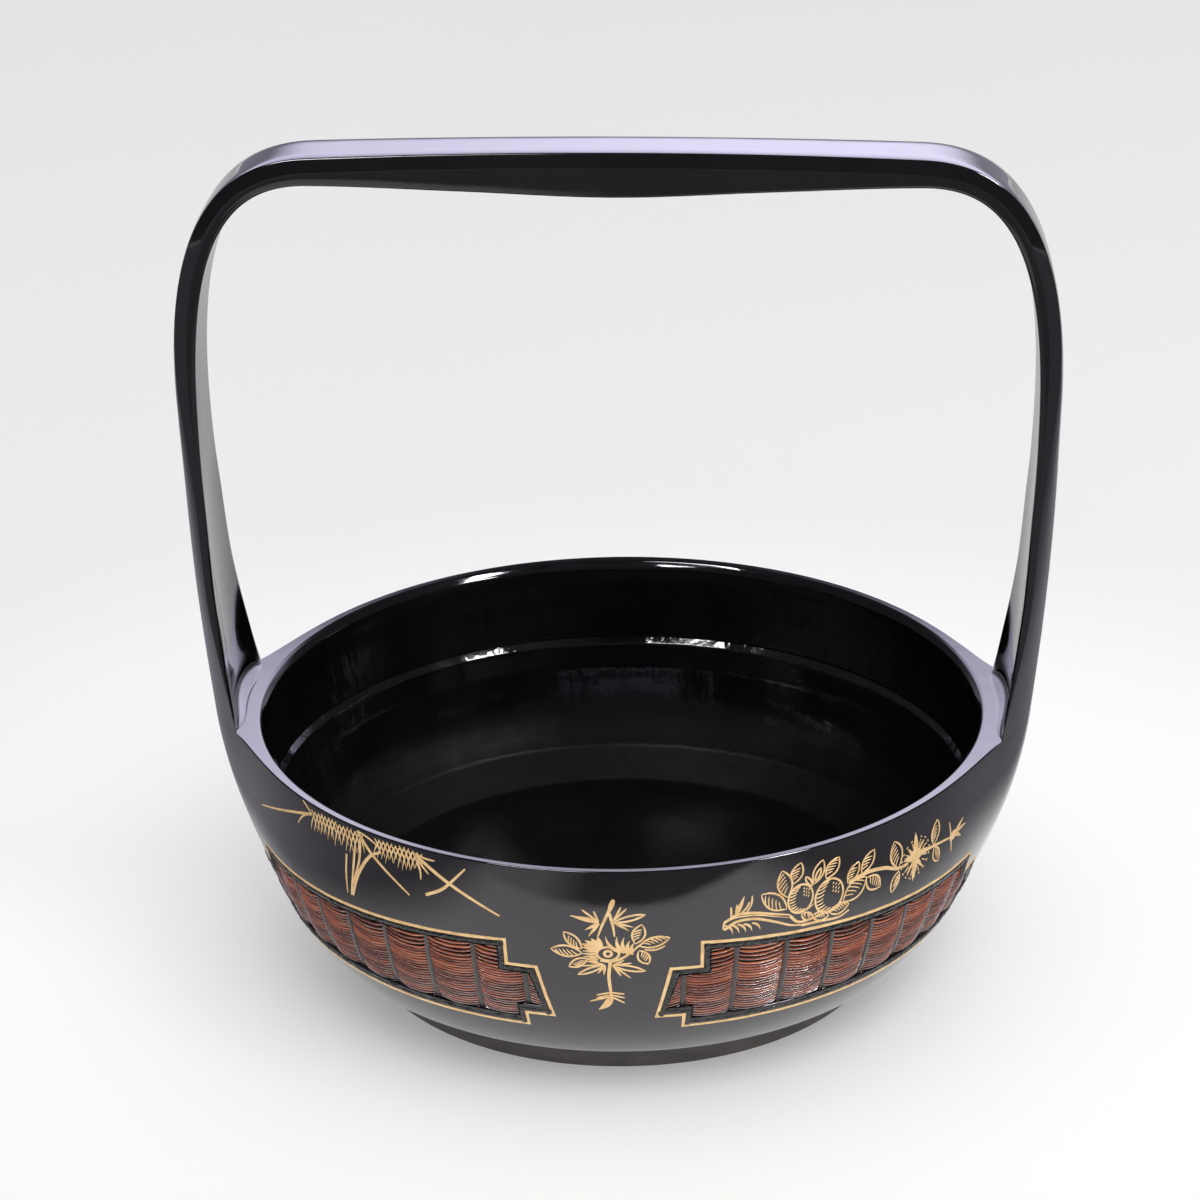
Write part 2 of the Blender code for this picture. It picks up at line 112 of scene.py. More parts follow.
# Windows in the outer shell, each inside a stepped gold frame
panel_front_margin = math.radians(7.95)
panel_side_margin = math.radians(12.25)
panel_upper_step_inset = math.radians(2.0)
panel_bottom_inset = math.radians(4.3)
panel_top_inset = math.radians(6.55)
panel_bottom_height = 0.0338
panel_lower_step_rise = 0.0062
panel_upper_step_rise = 0.0226
panel_top_rise = 0.0105
panel_step_fall = 0.0073
panel_top_fall = 0.0098
window_inset = 0.0027
window_rounding = 0.0007
window_edge_step = 0.0016
window_wobble = 0.00022
frame_line_width = 0.00135
bead_height = 0.00025
bead_step = 0.0006
bead_lumpiness = 0.8
bead_drift = 0.0003
bead_section = ((0, -0.2), (0.15, 0.6), (0.4, 1.0), (0.7, 1.1), (0.95, 0.6), (1.1, -0.6), (1.14, -3.0))
frame_section = ((-1.0, -0.2), (-0.8, 0.75), (0.0, 1.0), (0.8, 0.75), (1.0, -0.2))

# Gold strokes: heights and sections in metres and shares, widths in millimetres
gold_height = 0.00009
stroke_section = ((-0.5, -0.2), (-0.38, 0.75), (0.0, 1.0), (0.38, 0.75), (0.5, -0.2))
stroke_steps = 9
fine_stroke = 0.52
thin_stroke = 0.82
broad_stroke = 1.15

# Handle
arch_height = 0.3275
arch_half_span = 0.1657
shoulder_height = 0.232
corner_start = 0.112
crown_drop = 0.0020
post_swing_share = 0.37
corner_swing_share = 0.62
corner_rise_share = 0.74
level_until_share = 0.36
band_half_width = 0.0132
band_thickness = 0.009
root_half_angle = math.radians(13)
root_fillet = 0.0060
roll_width = 0.0024
roll_drop = 0.0040
roll_rounding = 0.0005
inner_rounding = 0.0012
arris_rounding = 0.0004
edge_turn_share = 0.45
rolled_from = 0.3
tongue_top_half_angle = math.radians(22)
tongue_tip_half_angle = math.radians(9)
tongue_tip_share = 0.55
tongue_clearance = 0.0006
tongue_around = 28
tongue_rows = 9
tongue_narrowing = 0.94
place_shares = (0.0, 0.33, 0.70, 0.93, 1.15, 1.5, 2.0, 2.5, 3.0)
flare_shares = (1.0, 0.57, 0.28, 0.16, 0.11, 0.10, 0.06, 0.01, 0.0)
thickness_shares = (0.83, 0.95, 1.0, 1.0, 1.0, 1.03, 1.17, 1.57, 1.87)
edge_drop_shares = (1.0, 0.63, 0.54, 0.36, 0.12, 0.09, 0.08, 0.08, 0.08)
edge_thickness_shares = (0.12, 0.34, 0.32, 0.48, 0.83, 0.87, 0.90, 0.93, 0.94)
flatness_shares = (0.0, 0.15, 0.35, 0.7, 1.0, 1.0, 1.0, 1.0, 1.0)
root_place_shares = (0.0, 0.001, 0.0025, 0.0045, 0.007, 0.010, 0.014, 0.019, 0.026, 0.04, 0.06)
inner_edge_share = 0.94
face_roll_power = 6
edge_bulge_share = 0.012

# Fineness of the meshes
samples = 400
columns = 240
rows = 46
lathe_steps = 360
turn_steps = 6
face_points = 27
sharp_angle = math.radians(40)

# Camera
lens = 108
sensor = 36
view_distance = 1.3838
view_elevation = math.radians(23.54)
view_turn = math.radians(3.35)
view_roll = math.radians(-0.78)
view_aside = -0.0076
view_height = 0.1463

# Studio
floor_radius = 12
backdrop_height = 9
dome_level = 0.76
# strength of the painted glow that the floor gives off round the basket, lifting its shadow
painted_floor_glow = 0.20
# Painted reflection: where a glowing sheet, seen only in the lacquer's gloss, darkens what the lacquer
# reflects
painted_reflection_front = 0.281
painted_reflection_front_softness = 0.009
painted_reflection_side = 0.185
painted_reflection_aside = 0.015
painted_reflection_end = 0.55
painted_reflection_thin = 0.4
painted_reflection_thin_from = -0.03
painted_reflection_thin_until = -0.09
painted_reflection_full_from = 0.42
painted_reflection_full_until = 0.55
painted_veil_start = 0.22
painted_veil_strength = 0.5
painted_reflection_softness = 0.025
painted_reflection_reach = 6
painted_reflection_lift = 0.0005

# Lights, each by its direction from the basket, distance, width, height and radiance
right_box = ((0.60, -0.34, 0.73), 2.0, 0.36, 0.50, 60)
left_box = ((-0.27, -0.42, 0.87), 2.0, 0.70, 0.42, 22)
fill_box = ((0.45, -0.65, 0.9), 2.6, 2.2, 2.2, 1.7)


# Curves that the pieces share


def bezier(points, shares):
    """Points of a Bezier curve of any degree."""
    place = np.asarray(shares, float)[..., None]
    points = [np.asarray(point, float) for point in points]
    while len(points) > 1:
        points = [(1 - place) * start + place * end for start, end in zip(points, points[1:])]
    return points[0]


def hermite(start, end, leaving, arriving, part):
    """Part of the way between two values, with the slopes at both."""
    from_start = (1 + 2 * part) * (1 - part) ** 2 * start + part * (1 - part) ** 2 * leaving
    return from_start + part**2 * (3 - 2 * part) * end + part**2 * (part - 1) * arriving


def smooth_step(values, low, high):
    share = np.clip((np.asarray(values, float) - low) / (high - low), 0, 1)
    return share * share * (3 - 2 * share)


def turned_corner(before, corner, after, reach, count=turn_steps):
    """Points of a smooth turn at a corner, which leaves and joins the lines on both sides."""
    corner = np.asarray(corner, float)
    back, ahead = np.asarray(before, float) - corner, np.asarray(after, float) - corner
    start = corner + back * min(reach / np.linalg.norm(back), 0.8)
    end = corner + ahead * min(reach / np.linalg.norm(ahead), 0.8)
    return list(bezier((start, corner, end), np.linspace(0, 1, count)))


def full_turn(count):
    return np.linspace(0, 2 * math.pi, count, endpoint=False)


def round_points(radii, angles, heights):
    radii, angles, heights = np.broadcast_arrays(radii, angles, heights)
    return np.stack([radii * np.cos(angles), radii * np.sin(angles), heights], axis=-1)


def off_axis(angles):
    """How far each angle is from the nearer end of the handle."""
    return np.abs((np.asarray(angles, float) + math.pi / 2) % math.pi - math.pi / 2)


def bowl_bottom():
    return foot_height + gap


def bowl_curve():
    return (
        (bottom_radius, bowl_bottom()),
        (floor_swing_radius, bowl_bottom() - 3 * gap),
        (belly_radius, belly_height),
        (rim_radius, rim_height),
    )


def bowl_profile(shares, depths=0.0):
    """Radius and height of the bowl's round profile, moved inwards by depth along its normal."""
    shares = np.asarray(shares, float)
    step = 1 / samples
    points = bezier(bowl_curve(), shares)
    ahead = bezier(bowl_curve(), shares + step) - bezier(bowl_curve(), shares - step)
    ahead /= np.linalg.norm(ahead, axis=-1, keepdims=True)
    inwards = np.stack([-ahead[..., 1], ahead[..., 0]], axis=-1)
    return points + (np.asarray(depths, float) + skin)[..., None] * inwards


def share_at_height(heights):
    shares = np.linspace(0, 1, samples + 1)
    return np.interp(heights, bezier(bowl_curve(), shares)[:, 1], shares)


def length_table():
    """Shares along the profile and how far each lies from the bottom, along the surface."""
    shares = np.linspace(0, 1, samples + 1)
    points = bezier(bowl_curve(), shares)
    steps = np.linalg.norm(np.diff(points, axis=0), axis=1)
    return shares, np.concatenate([[0], np.cumsum(steps)])


def length_at_height(heights):
    shares, lengths = length_table()
    return np.interp(share_at_height(heights), shares, lengths)


def share_at_length(lengths_wanted):
    shares, lengths = length_table()
    return np.interp(lengths_wanted, lengths, shares)


def swell(angles, heights):
    """How far the bowl's side stands out beyond its round profile, below and at the handle's ends."""
    ratio = (np.asarray(heights, float) - root_swell_start) / (rim_height - root_swell_start)
    onset = root_swell_onset_share
    full = (1 + math.hypot(1, onset)) / 2
    ratio = np.minimum((ratio + np.hypot(ratio, onset)) / 2 / full, 1)
    rise = root_swell_straight_share * ratio + (1 - root_swell_straight_share) * (1 - (1 - ratio) ** 2)
    return root_swell * rise / (1 + (off_axis(angles) / root_swell_angle) ** 2) ** root_swell_falloff


def on_bowl(shares, angles, depths=0.0):
    """Points of the swollen bowl's side, at a depth below its outer surface."""
    shares, angles, depths = np.broadcast_arrays(shares, angles, depths)
    profile = bowl_profile(shares, depths)
    heights = bowl_profile(shares)[..., 1]
    return round_points(profile[..., 0] + swell(angles, heights), angles, profile[..., 1])


def bowl_normals(shares, angles):
    step = 1 / samples
    shares = np.asarray(shares, float)
    up = on_bowl(np.minimum(shares + step, 1), angles) - on_bowl(shares - step, angles)
    around = on_bowl(shares, angles + step) - on_bowl(shares, angles - step)
    normals = np.cross(around, up)
    return normals / np.linalg.norm(normals, axis=-1, keepdims=True)


def lobe_depth():
    return shell_thickness + gap


def wall_depth():
    return lobe_depth() + lobe_thickness


def lining_depth():
    return wall_depth() + gap


def stake_angles():
    pitch = 2 * math.pi / stake_count
    return [-math.pi / 2 + (index + 0.5) * pitch for index in range(stake_count)]


def window_middles():
    """The angle of each window's middle, two on each side of the handle."""
    offset = (math.pi / 2 + panel_front_margin - panel_side_margin) / 2
    front = -math.pi / 2
    back = math.pi / 2
    return (front + offset, front - offset, back + offset, back - offset)


def panel_side(inset, step_fall=0.0, top_fall=0.0):
    """One side of a panel's stepped outline, as angle from its middle and height, from the top down."""
    widest = (math.pi / 2 - panel_front_margin - panel_side_margin) / 2 - inset / rim_radius
    lower_step = panel_bottom_height + panel_lower_step_rise + inset
    upper_step = panel_bottom_height + panel_lower_step_rise + panel_upper_step_rise - inset
    return (
        (widest - panel_top_inset, upper_step + panel_top_rise - top_fall),
        (widest - panel_top_inset, upper_step - step_fall),
        (widest - panel_upper_step_inset, upper_step - step_fall),
        (widest, lower_step),
        (widest - panel_bottom_inset, lower_step),
        (widest - panel_bottom_inset, panel_bottom_height + inset),
    )


def flat_outline(inset):
    """A panel's outline, counterclockwise in metres: along the rim's circle towards the handle, and up."""
    near = [(-angle, height) for angle, height in panel_side(inset)]
    far = panel_side(inset, panel_step_fall, panel_top_fall)
    return np.array([(angle * rim_radius, length_at_height(height)) for angle, height in [*near, *far[::-1]]])


def panel_loop(number, inset):
    """A panel's outline with its lower end towards the handle, which is to the left of every other panel."""
    loop = flat_outline(inset)
    return loop[::-1] * np.array([-1, 1]) if number % 2 else loop


# Meshes


def new_object(name, points, faces, finish):
    mesh = bpy.data.meshes.new(name)
    mesh.from_pydata(np.asarray(points, float).tolist(), [], faces)
    mesh.materials.append(finish)
    made = bpy.data.objects.new(name, mesh)
    bpy.context.scene.collection.objects.link(made)
    return made


def add_piece(name, points, faces, finish, normals=None):
    """An object that rides on the basket. A point whose normal is zero takes it from the faces round it."""
    made = new_object(name, points, faces, finish)
    made.data.shade_smooth()
    made.data.set_sharp_from_angle(angle=sharp_angle)
    if normals is not None:
        made.data.normals_split_custom_set_from_vertices(np.asarray(normals, float).tolist())
    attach(made, "root")
    return made


def strips(levels, closed=False):
    """Quads between neighbouring rows of point indexes, and from each row's end to its start if closed."""
    levels = np.array(levels)
    if closed:
        levels = np.hstack([levels, levels[:, :1]])
    corners = (levels[:-1, :-1], levels[:-1, 1:], levels[1:, 1:], levels[1:, :-1])
    return np.stack(corners, axis=-1).reshape(-1, 4).tolist()


def grid_faces(first, across, up, closed=False, ringed=False):
    """Quads of points stored row by row from index first. In a ringed grid the last row meets the first."""
    levels = first + np.arange(across * up).reshape(up, across)
    return strips(np.vstack([levels, levels[:1]]) if ringed else levels, closed)


def flipped(faces):
    return [face[::-1] for face in faces]


def lathe(name, profile, finish, fixed_normals=None):
    """A piece turned about Z from a closed profile, counterclockwise with Z up and the radius rightwards."""
    profile = np.asarray(profile, float)
    angles = full_turn(lathe_steps)
    points = round_points(profile[:, 0], angles[:, None], profile[:, 1])
    normals = np.zeros_like(points)
    for place, (outwards, upwards) in (fixed_normals or {}).items():
        normals[:, place] = round_points(outwards, angles, upwards)
    faces = flipped(grid_faces(0, len(profile), lathe_steps, closed=True, ringed=True))
    return add_piece(name, points.reshape(-1, 3), faces, finish, normals.reshape(-1, 3))


# Outer shell


def wobble(lengths, seed, width):
    """A gentle unevenness along a hand-cut edge."""
    chance = random.Random(seed)
    total = np.zeros_like(lengths)
    for wave in (0.004, 0.0071, 0.013, 0.027):
        phase = chance.uniform(0, 2 * math.pi)
        total += np.sin(lengths / wave * 2 * math.pi + phase) * chance.uniform(0.3, 1)
    return total / 4 * width


def divided(outline, step):
    """The closed outline with points no further apart than the step."""
    points = []
    for start, end in loop_sides(outline):
        count = max(int(np.linalg.norm(end - start) / step), 1)
        points += [start + (end - start) * place / count for place in range(count)]
    return np.array(points)


def inward_offsets(loop):
    """Unit-wide offsets to the left of a counterclockwise loop, mitred at its corners."""
    ahead = np.roll(loop, -1, axis=0) - loop
    ahead /= np.linalg.norm(ahead, axis=1, keepdims=True)
    left = np.stack([-ahead[:, 1], ahead[:, 0]], axis=1)
    both = left + np.roll(left, 1, axis=0)
    return both / np.maximum((both * left).sum(axis=1, keepdims=True), 0.5)


def window_loop(number):
    loop = divided(panel_loop(number, window_inset), window_edge_step)
    lengths = np.arange(len(loop)) * window_edge_step
    loop = loop + inward_offsets(loop) * wobble(lengths, number, window_wobble)[:, None]
    loop[:, 0] += window_middles()[number] * rim_radius
    return loop


def loop_sides(loop):
    """Each side of a closed loop, as its two ends."""
    return zip(loop, np.roll(loop, -1, axis=0))


def segment_distances(points, loop):
    """Distance of each point from the nearest part of a closed loop."""
    best = np.full(len(points), 1.0)
    for start, end in loop_sides(loop):
        along = end - start
        place = np.clip((points - start) @ along / (along @ along), 0, 1)
        best = np.minimum(best, np.linalg.norm(points - start - place[:, None] * along, axis=1))
    return best


def inside(points, loop):
    """Whether each point lies inside a closed loop."""
    found = np.zeros(len(points), bool)
    for start, end in loop_sides(loop):
        crosses = (start[1] > points[:, 1]) != (end[1] > points[:, 1])
        rise = end[1] - start[1] if end[1] != start[1] else 1.0
        found ^= crosses & (points[:, 0] < start[0] + (points[:, 1] - start[1]) / rise * (end[0] - start[0]))
    return found


def shell_plan(loops):
    """The shell's side laid flat and cut into triangles, with the windows left out."""
    half_way = math.pi * rim_radius
    top = length_at_height(rim_height - rim_band)
    across = np.linspace(-half_way, half_way, columns + 1)
    grid = np.array([(x, y) for y in np.linspace(0, top, rows) for x in across])
    keep = np.ones(len(grid), bool)
    for loop in loops:
        keep &= (segment_distances(grid, loop) >= window_edge_step / 2) & ~inside(grid, loop)
    keep |= (np.abs(grid[:, 0]) > half_way - gap) | (grid[:, 1] < gap) | (grid[:, 1] > top - gap)
    points = grid[keep].tolist()
    edges, firsts = [], []
    for loop in loops:
        firsts.append(len(points))
        edges += [(firsts[-1] + place, firsts[-1] + (place + 1) % len(loop)) for place in range(len(loop))]
        points += loop.tolist()
    found, _, triangles, sources, _, _ = delaunay_2d_cdt([Vector(p) for p in points], edges, [], 0, 1e-9)
    flat = np.array([tuple(point) for point in found])
    triangles = np.array([tuple(face) for face in triangles])
    solid = np.ones(len(triangles), bool)
    for loop in loops:
        solid &= ~inside(flat[triangles].mean(axis=1), loop)
    places = {source: index for index, group in enumerate(sources) for source in group}
    rings = [[places[first + place] for place in range(len(loop))] for first, loop in zip(firsts, loops)]
    return flat, triangles[solid], rings


def rim_roundings(angles):
    """How far the rim's outer corner is rounded: not at all where the handle stands on it."""
    full = smooth_step(off_axis(angles), root_half_angle, root_half_angle + math.radians(3))
    return skin / 4 + (rim_rounding - skin / 4) * full


def make_outer_shell(finish):
    """The lacquered side of the bowl: two faces, joined round the windows, over the rim and at the bottom."""
    loops = [window_loop(number) for number in range(4)]
    flat, triangles, rings = shell_plan(loops)
    angles = flat[:, 0] / rim_radius
    shares = share_at_length(flat[:, 1])
    count = len(flat)
    points, normals = [], []

    def add_points(places, directions=None):
        first = sum(map(len, points))
        points.append(places)
        normals.append(np.zeros_like(places) if directions is None else directions)
        return np.arange(first, first + len(places))

    add_points(on_bowl(shares, angles), bowl_normals(shares, angles))
    add_points(on_bowl(shares, angles, shell_thickness))
    faces = triangles.tolist() + flipped((triangles + count).tolist())

    turns = np.linspace(0, math.pi / 2, turn_steps)
    edge = [(window_rounding * math.cos(turn), window_rounding * math.sin(turn)) for turn in turns[-2::-1]]
    edge.append((window_rounding, shell_thickness - gap))
    for loop, ring in zip(loops, rings):
        levels = [ring]
        for inset, depth in edge:
            moved = loop + inward_offsets(loop) * inset
            levels.append(add_points(on_bowl(share_at_length(moved[:, 1]), moved[:, 0] / rim_radius, depth)))
        faces += strips([*levels, np.array(ring) + count], closed=True)

    order = np.argsort(flat[:, 0])
    top = order[flat[order, 1] > flat[:, 1].max() - gap]
    bottom = order[flat[order, 1] < gap]
    top_angles = flat[top, 0] / rim_radius
    rounding = rim_roundings(top_angles)
    rim_normals = bowl_normals(np.full(len(top), 1.0), top_angles)
    tilted = round_points(-math.sin(rim_tilt), top_angles, math.cos(rim_tilt))
    drops = [(0 * rounding, rim_band * share + rounding * (1 - share), 0.0) for share in (0.66, 0.33, 0.0)]
    drops += [(rounding * (1 - math.cos(turn)), rounding * (1 - math.sin(turn)), turn) for turn in turns[1:]]
    levels = [top]
    for depths, falls, turn in drops:
        heights = rim_height - falls
        radii = bowl_profile(share_at_height(heights))[:, 0] + swell(top_angles, heights) - depths
        directions = math.cos(turn) * rim_normals + math.sin(turn) * tilted
        levels.append(add_points(round_points(radii, top_angles, heights), directions))
    levels.append(add_points(round_points(rim_radius - lobe_depth(), top_angles, rim_height), tilted))
    faces += strips([*levels, top + count]) + strips([bottom + count, bottom])
    shell = add_piece("lacquered_shell", np.concatenate(points), faces, finish, np.concatenate(normals))
    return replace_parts(shell, "outer_shell")


# Rim, hoop, lining and foot


def inner_radius():
    return rim_radius - lining_depth() - hoop_thickness


def make_rim_hoop(finish):
    """The lip: a flat top that leans a little inwards, and a rounded inner edge."""
    inner, outer = inner_radius(), rim_radius - lobe_depth()
    bottom = rim_height - lip_height
    middle = ((outer + inner + lip_width) / 2, rim_height - lip_fall / 2)
    top_edge = (inner + lip_width, rim_height - lip_fall)
    low_edge = (inner, rim_height - lip_rounding)
    lip = turned_corner(middle, top_edge, low_edge, lip_turn)
    lip += turned_corner(top_edge, low_edge, (inner, bottom), lip_turn)
    profile = [(outer, rim_height), middle, *lip, (inner, bottom), (outer, bottom)]
    tilted = (-math.sin(rim_tilt), math.cos(rim_tilt))
    hoop = lathe("rim_lip", profile, finish, {0: tilted, 1: tilted, len(profile) - 2: (-1, 0)})
    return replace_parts(hoop, "rim_hoop")


def make_inner_hoop(finish):
    top = share_at_height(rim_height - lip_height)
    bottom = share_at_height(rim_height - lip_height - hoop_height) - 2 / samples
    shares = np.linspace(top, bottom, 24)
    face = bowl_profile(shares, lining_depth() + hoop_thickness)
    blend = smooth_step(shares, top - 0.05, top)
    face[:, 0] += blend * (inner_radius() - face[0, 0])
    face[0, 1] = rim_height - lip_height
    back = bowl_profile(shares[::-1], lining_depth())
    back[-1, 1] = rim_height - lip_height
    hoop = lathe("hoop_under_rim", [*face, *back], finish, {0: (-1, 0)})
    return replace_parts(hoop, "inner_hoop")


def lining_rows():
    """The lining's inner profile: a flat floor, a sloping foot, a steep wall and a rounded ledge above it."""
    surface = lining_depth() + hoop_thickness + ledge_width
    ledge_height = rim_height - lip_height - hoop_height
    ledge_share = float(share_at_height(ledge_height - ledge_fall))
    wall = bowl_profile(np.linspace(lining_steep_share, ledge_share, 32), surface)
    wall[:, 0] -= ledge_swell * smooth_step(wall[:, 1], wall[-1, 1] - ledge_swell_height, wall[-1, 1])
    foot = bowl_profile(np.array([lining_foot_share, lining_foot_share + 1 / samples]), surface)
    foot_slope = (foot[1, 1] - foot[0, 1]) / (foot[1, 0] - foot[0, 0])
    wall_slope = (wall[1, 1] - wall[0, 1]) / (wall[1, 0] - wall[0, 0])
    rise = wall[0, 1] - foot[0, 1] - foot_slope * (wall[0, 0] - foot[0, 0])
    bend_radius = wall[0, 0] - rise / (wall_slope - foot_slope)
    bend = (bend_radius, foot[0, 1] + foot_slope * (bend_radius - foot[0, 0]))
    floor_height = bowl_profile([0.0], lining_depth() + lining_thickness)[0, 1]
    edge = (foot[0, 0] - (foot[0, 1] - floor_height) / foot_slope, floor_height)
    floor = [(radius, floor_height) for radius in np.linspace(0.02, 0.9, 14) * edge[0]]
    lower = turned_corner(floor[-1], edge, bend, lining_bend_reach, 8)
    upper = turned_corner(edge, bend, wall[0], lining_bend_reach, 8)
    slope = [edge + (np.array(bend) - edge) * share for share in (0.35, 0.5, 0.65)]
    ledge_top = bowl_profile([float(share_at_height(ledge_height))], lining_depth() + hoop_thickness / 2)[0]
    ledge = turned_corner(wall[-2], wall[-1], ledge_top, ledge_turn)
    end = (rim_radius - lining_depth(), ledge_top[1])
    return [*floor, *lower, *slope, *upper, *wall[1:-1], *ledge, ledge_top, end]


def make_lining(finish):
    """The lacquered inside, with the stakes showing through as faint ripples among the brush's own."""
    profile = np.array([(float(radius), float(height)) for radius, height in lining_rows()])
    radii, heights = profile.T
    angles = full_turn(lathe_steps * 2)[:, None]
    chance = random.Random(4)
    share = smooth_step(heights, heights[0] + ripple_start, heights[0] + ripple_full)
    ripple = np.cos((angles + math.pi / 2) * stake_count + math.pi) * stake_ripple * share
    for count in (3, 5, 8, 13, 21, 34, 57):
        phase = chance.uniform(0, 2 * math.pi)
        lean = chance.uniform(-30, 30)
        ripple = ripple + np.sin(angles * count + phase + lean * heights) * share * brush_ripple / (count + 3)
    points = round_points(radii + ripple, angles, heights).reshape(-1, 3)
    faces = grid_faces(0, len(profile), len(angles), ringed=True)
    ring = [step * len(profile) for step in range(len(angles))]
    faces += [(len(points), here, there) for here, there in zip(ring, ring[1:] + ring[:1])]
    lining = add_piece("brushed_lining", np.vstack([points, [0, 0, heights[0]]]), faces, finish)
    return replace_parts(lining, "inner_lining")


def foot_corner(radius, height, start):
    """A rounded corner of the foot, from an angle in degrees to a quarter turn on."""
    turns = np.radians(np.linspace(start, start + 90, turn_steps))
    radii = radius + foot_rounding * (np.cos(turns) - 1)
    return list(zip(radii, height + foot_rounding * np.sin(turns)))


def make_foot_ring(finish):
    top = bottom_radius + foot_top_flare
    bottom = bottom_radius + foot_bottom_flare - skin
    low = foot_corner(bottom, foot_rounding, -90)
    high = foot_corner(top, foot_height - foot_rounding, 0)
    inner = [(top - foot_wall, foot_height), (bottom - foot_wall, 0)]
    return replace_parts(lathe("foot_band", [*low, *high, *inner], finish), "foot_ring")


# Woven wall and stakes


def valley_share(angles):
    """1 over a stake, falling to 0 over the middle of the lobe between two stakes."""
    pitch = 2 * math.pi / stake_count
    off = np.abs((np.asarray(angles, float) + math.pi / 2) % pitch - pitch / 2)
    return 1 - np.sin(off / pitch * math.pi) ** lobe_fullness


def strand_rows():
    """Where each strand lies along the profile, and its radius, from the top down."""
    top, bottom = (float(length_at_height(panel_side(window_inset)[corner][1])) for corner in (0, -1))
    placed = []
    place = top + strand_overrun
    while place > bottom - strand_overrun:
        near_top = place > top - top_strand_count * top_strand_pitch
        placed.append((place, top_strand_radius if near_top else strand_radius))
        place -= top_strand_pitch if near_top else strand_pitch
    return placed


def border_distance(angles, lengths):
    """Distance of each point from the sides and the bottom of the window it lies in, negative outside."""
    turns = (angles[:, None] - np.array(window_middles()) + math.pi) % (2 * math.pi) - math.pi
    nearest = np.abs(turns).argmin(axis=1)
    across = np.take_along_axis(turns, nearest[:, None], 1)[:, 0] * np.where(nearest % 2, -1, 1) * rim_radius
    loop = flat_outline(window_inset)
    loop[[0, -1], 1] += 10 * window_inset
    points = np.stack([across, lengths], axis=1)
    return np.where(inside(points, loop), 1, -1) * segment_distances(points, loop)


def make_strands(finish):
    """Round strands that bulge and droop over each lobe, and dip where a stake crosses them.

    Their color attribute holds each one's tone, the distance from a window's border and the height in it,
    which paints shade on the lower rows.
    """
    chance = random.Random(7)
    steps = stake_count * strand_steps_per_stake
    angles = full_turn(steps)
    turns = full_turn(strand_sides)
    depths = lobe_cover + (valley_cover - lobe_cover) * valley_share(angles)
    points, faces, tones, borders = [], [], [], []
    for number, (place, radius) in enumerate(strand_rows()):
        offset = np.zeros(steps)
        thick = np.ones(steps)
        lift = np.zeros(steps)
        tone = np.full(steps, chance.uniform(0, 1))
        for count in (7, 19, 43, 71, 117):
            offset += np.sin(angles * count + chance.uniform(0, 6.3)) * strand_wobble * chance.uniform(0, 0.7)
            thick += np.sin(angles * count + chance.uniform(0, 6.3)) * 0.05
            lift += np.sin(angles * count + chance.uniform(0, 6.3)) * strand_wobble * chance.uniform(0, 0.5)
            tone += np.sin(angles * count / 2 // 1 + chance.uniform(0, 6.3)) * 0.08
        offset -= strand_droop * (1 - valley_share(angles))
        lengths = place + offset[:, None] + np.sin(turns) * radius * thick[:, None]
        across = depths[:, None] + lift[:, None] - np.cos(turns) * radius * thick[:, None] * strand_flatness
        points.append(on_bowl(share_at_length(lengths), angles[:, None], across).reshape(-1, 3))
        faces += grid_faces(number * steps * strand_sides, strand_sides, steps, closed=True, ringed=True)
        tones.append(np.repeat(tone, strand_sides))
        borders.append(border_distance(np.repeat(angles, strand_sides), lengths.reshape(-1)))
    points = np.concatenate(points)
    made = add_piece("woven_strands", points, flipped(faces), finish)
    layer = made.data.color_attributes.new("strand", "FLOAT_COLOR", "POINT")
    tone = np.concatenate(tones).clip(0, 1)
    border = (np.concatenate(borders) / window_inset).clip(0, 1)
    # painted shade: this share rises with height in the window, so the material paints the lower rows darker,
    # where the bowl curves under
    upper = smooth_step(points[:, 2], panel_bottom_height, panel_bottom_height + 2 * panel_upper_step_rise)
    colors = np.stack([tone, border, upper, np.ones_like(tone)], axis=1)
    layer.data.foreach_set("color", colors.astype(np.float32).reshape(-1))
    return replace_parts(made, "woven_wall")


def make_backing(finish):
    """The dark wall behind the strands, from the floor up to the lip."""
    shares = np.linspace(0.02, float(share_at_height(rim_height - lip_height - gap)), 40)[:, None]
    angles = full_turn(stake_count * 10)
    depths = lobe_cover + backing_cover + (valley_cover - lobe_cover) * valley_share(angles)
    outer = on_bowl(shares, angles, depths)
    profile = bowl_profile(shares[::-1], wall_depth())
    points = np.concatenate([outer, round_points(profile[..., 0], angles, profile[..., 1])])
    faces = grid_faces(0, len(angles), len(points), closed=True, ringed=True)
    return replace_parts(add_piece("wall_backing", points.reshape(-1, 3), faces, finish), "woven_wall")


def make_stake(index, angle, finish):
    """A split bamboo stake with a gently rounded face, lying in its valley."""
    chance = random.Random(100 + index)
    shares = np.linspace(0.03, float(share_at_height(rim_height - lip_height - gap)), 34)
    half = stake_width / 2
    drift = chance.uniform(-1, 1) * stake_clearance / 3
    section = [(side * half, stake_cover + side**4 * gap) for side in (-1.0, -0.8, -0.4, 0.0, 0.4, 0.8, 1.0)]
    section += [(side * half, lobe_depth() + valley_depth - gap) for side in (1.0, -1.0)]
    points = []
    for share in shares:
        sway = math.sin(share * 5 + index) * stake_clearance / 6 + drift
        points += [on_bowl(share, angle + (across + sway) / rim_radius, depth) for across, depth in section]
    around = len(section)
    faces = grid_faces(0, around, len(shares), closed=True)
    faces += [tuple(range(around)), tuple(reversed(range(len(points) - around, len(points))))]
    made = add_piece(f"bamboo_stake_{index + 1:02d}", points, faces, finish)
    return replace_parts(made, f"stake_{index + 1:02d}")


# Handle


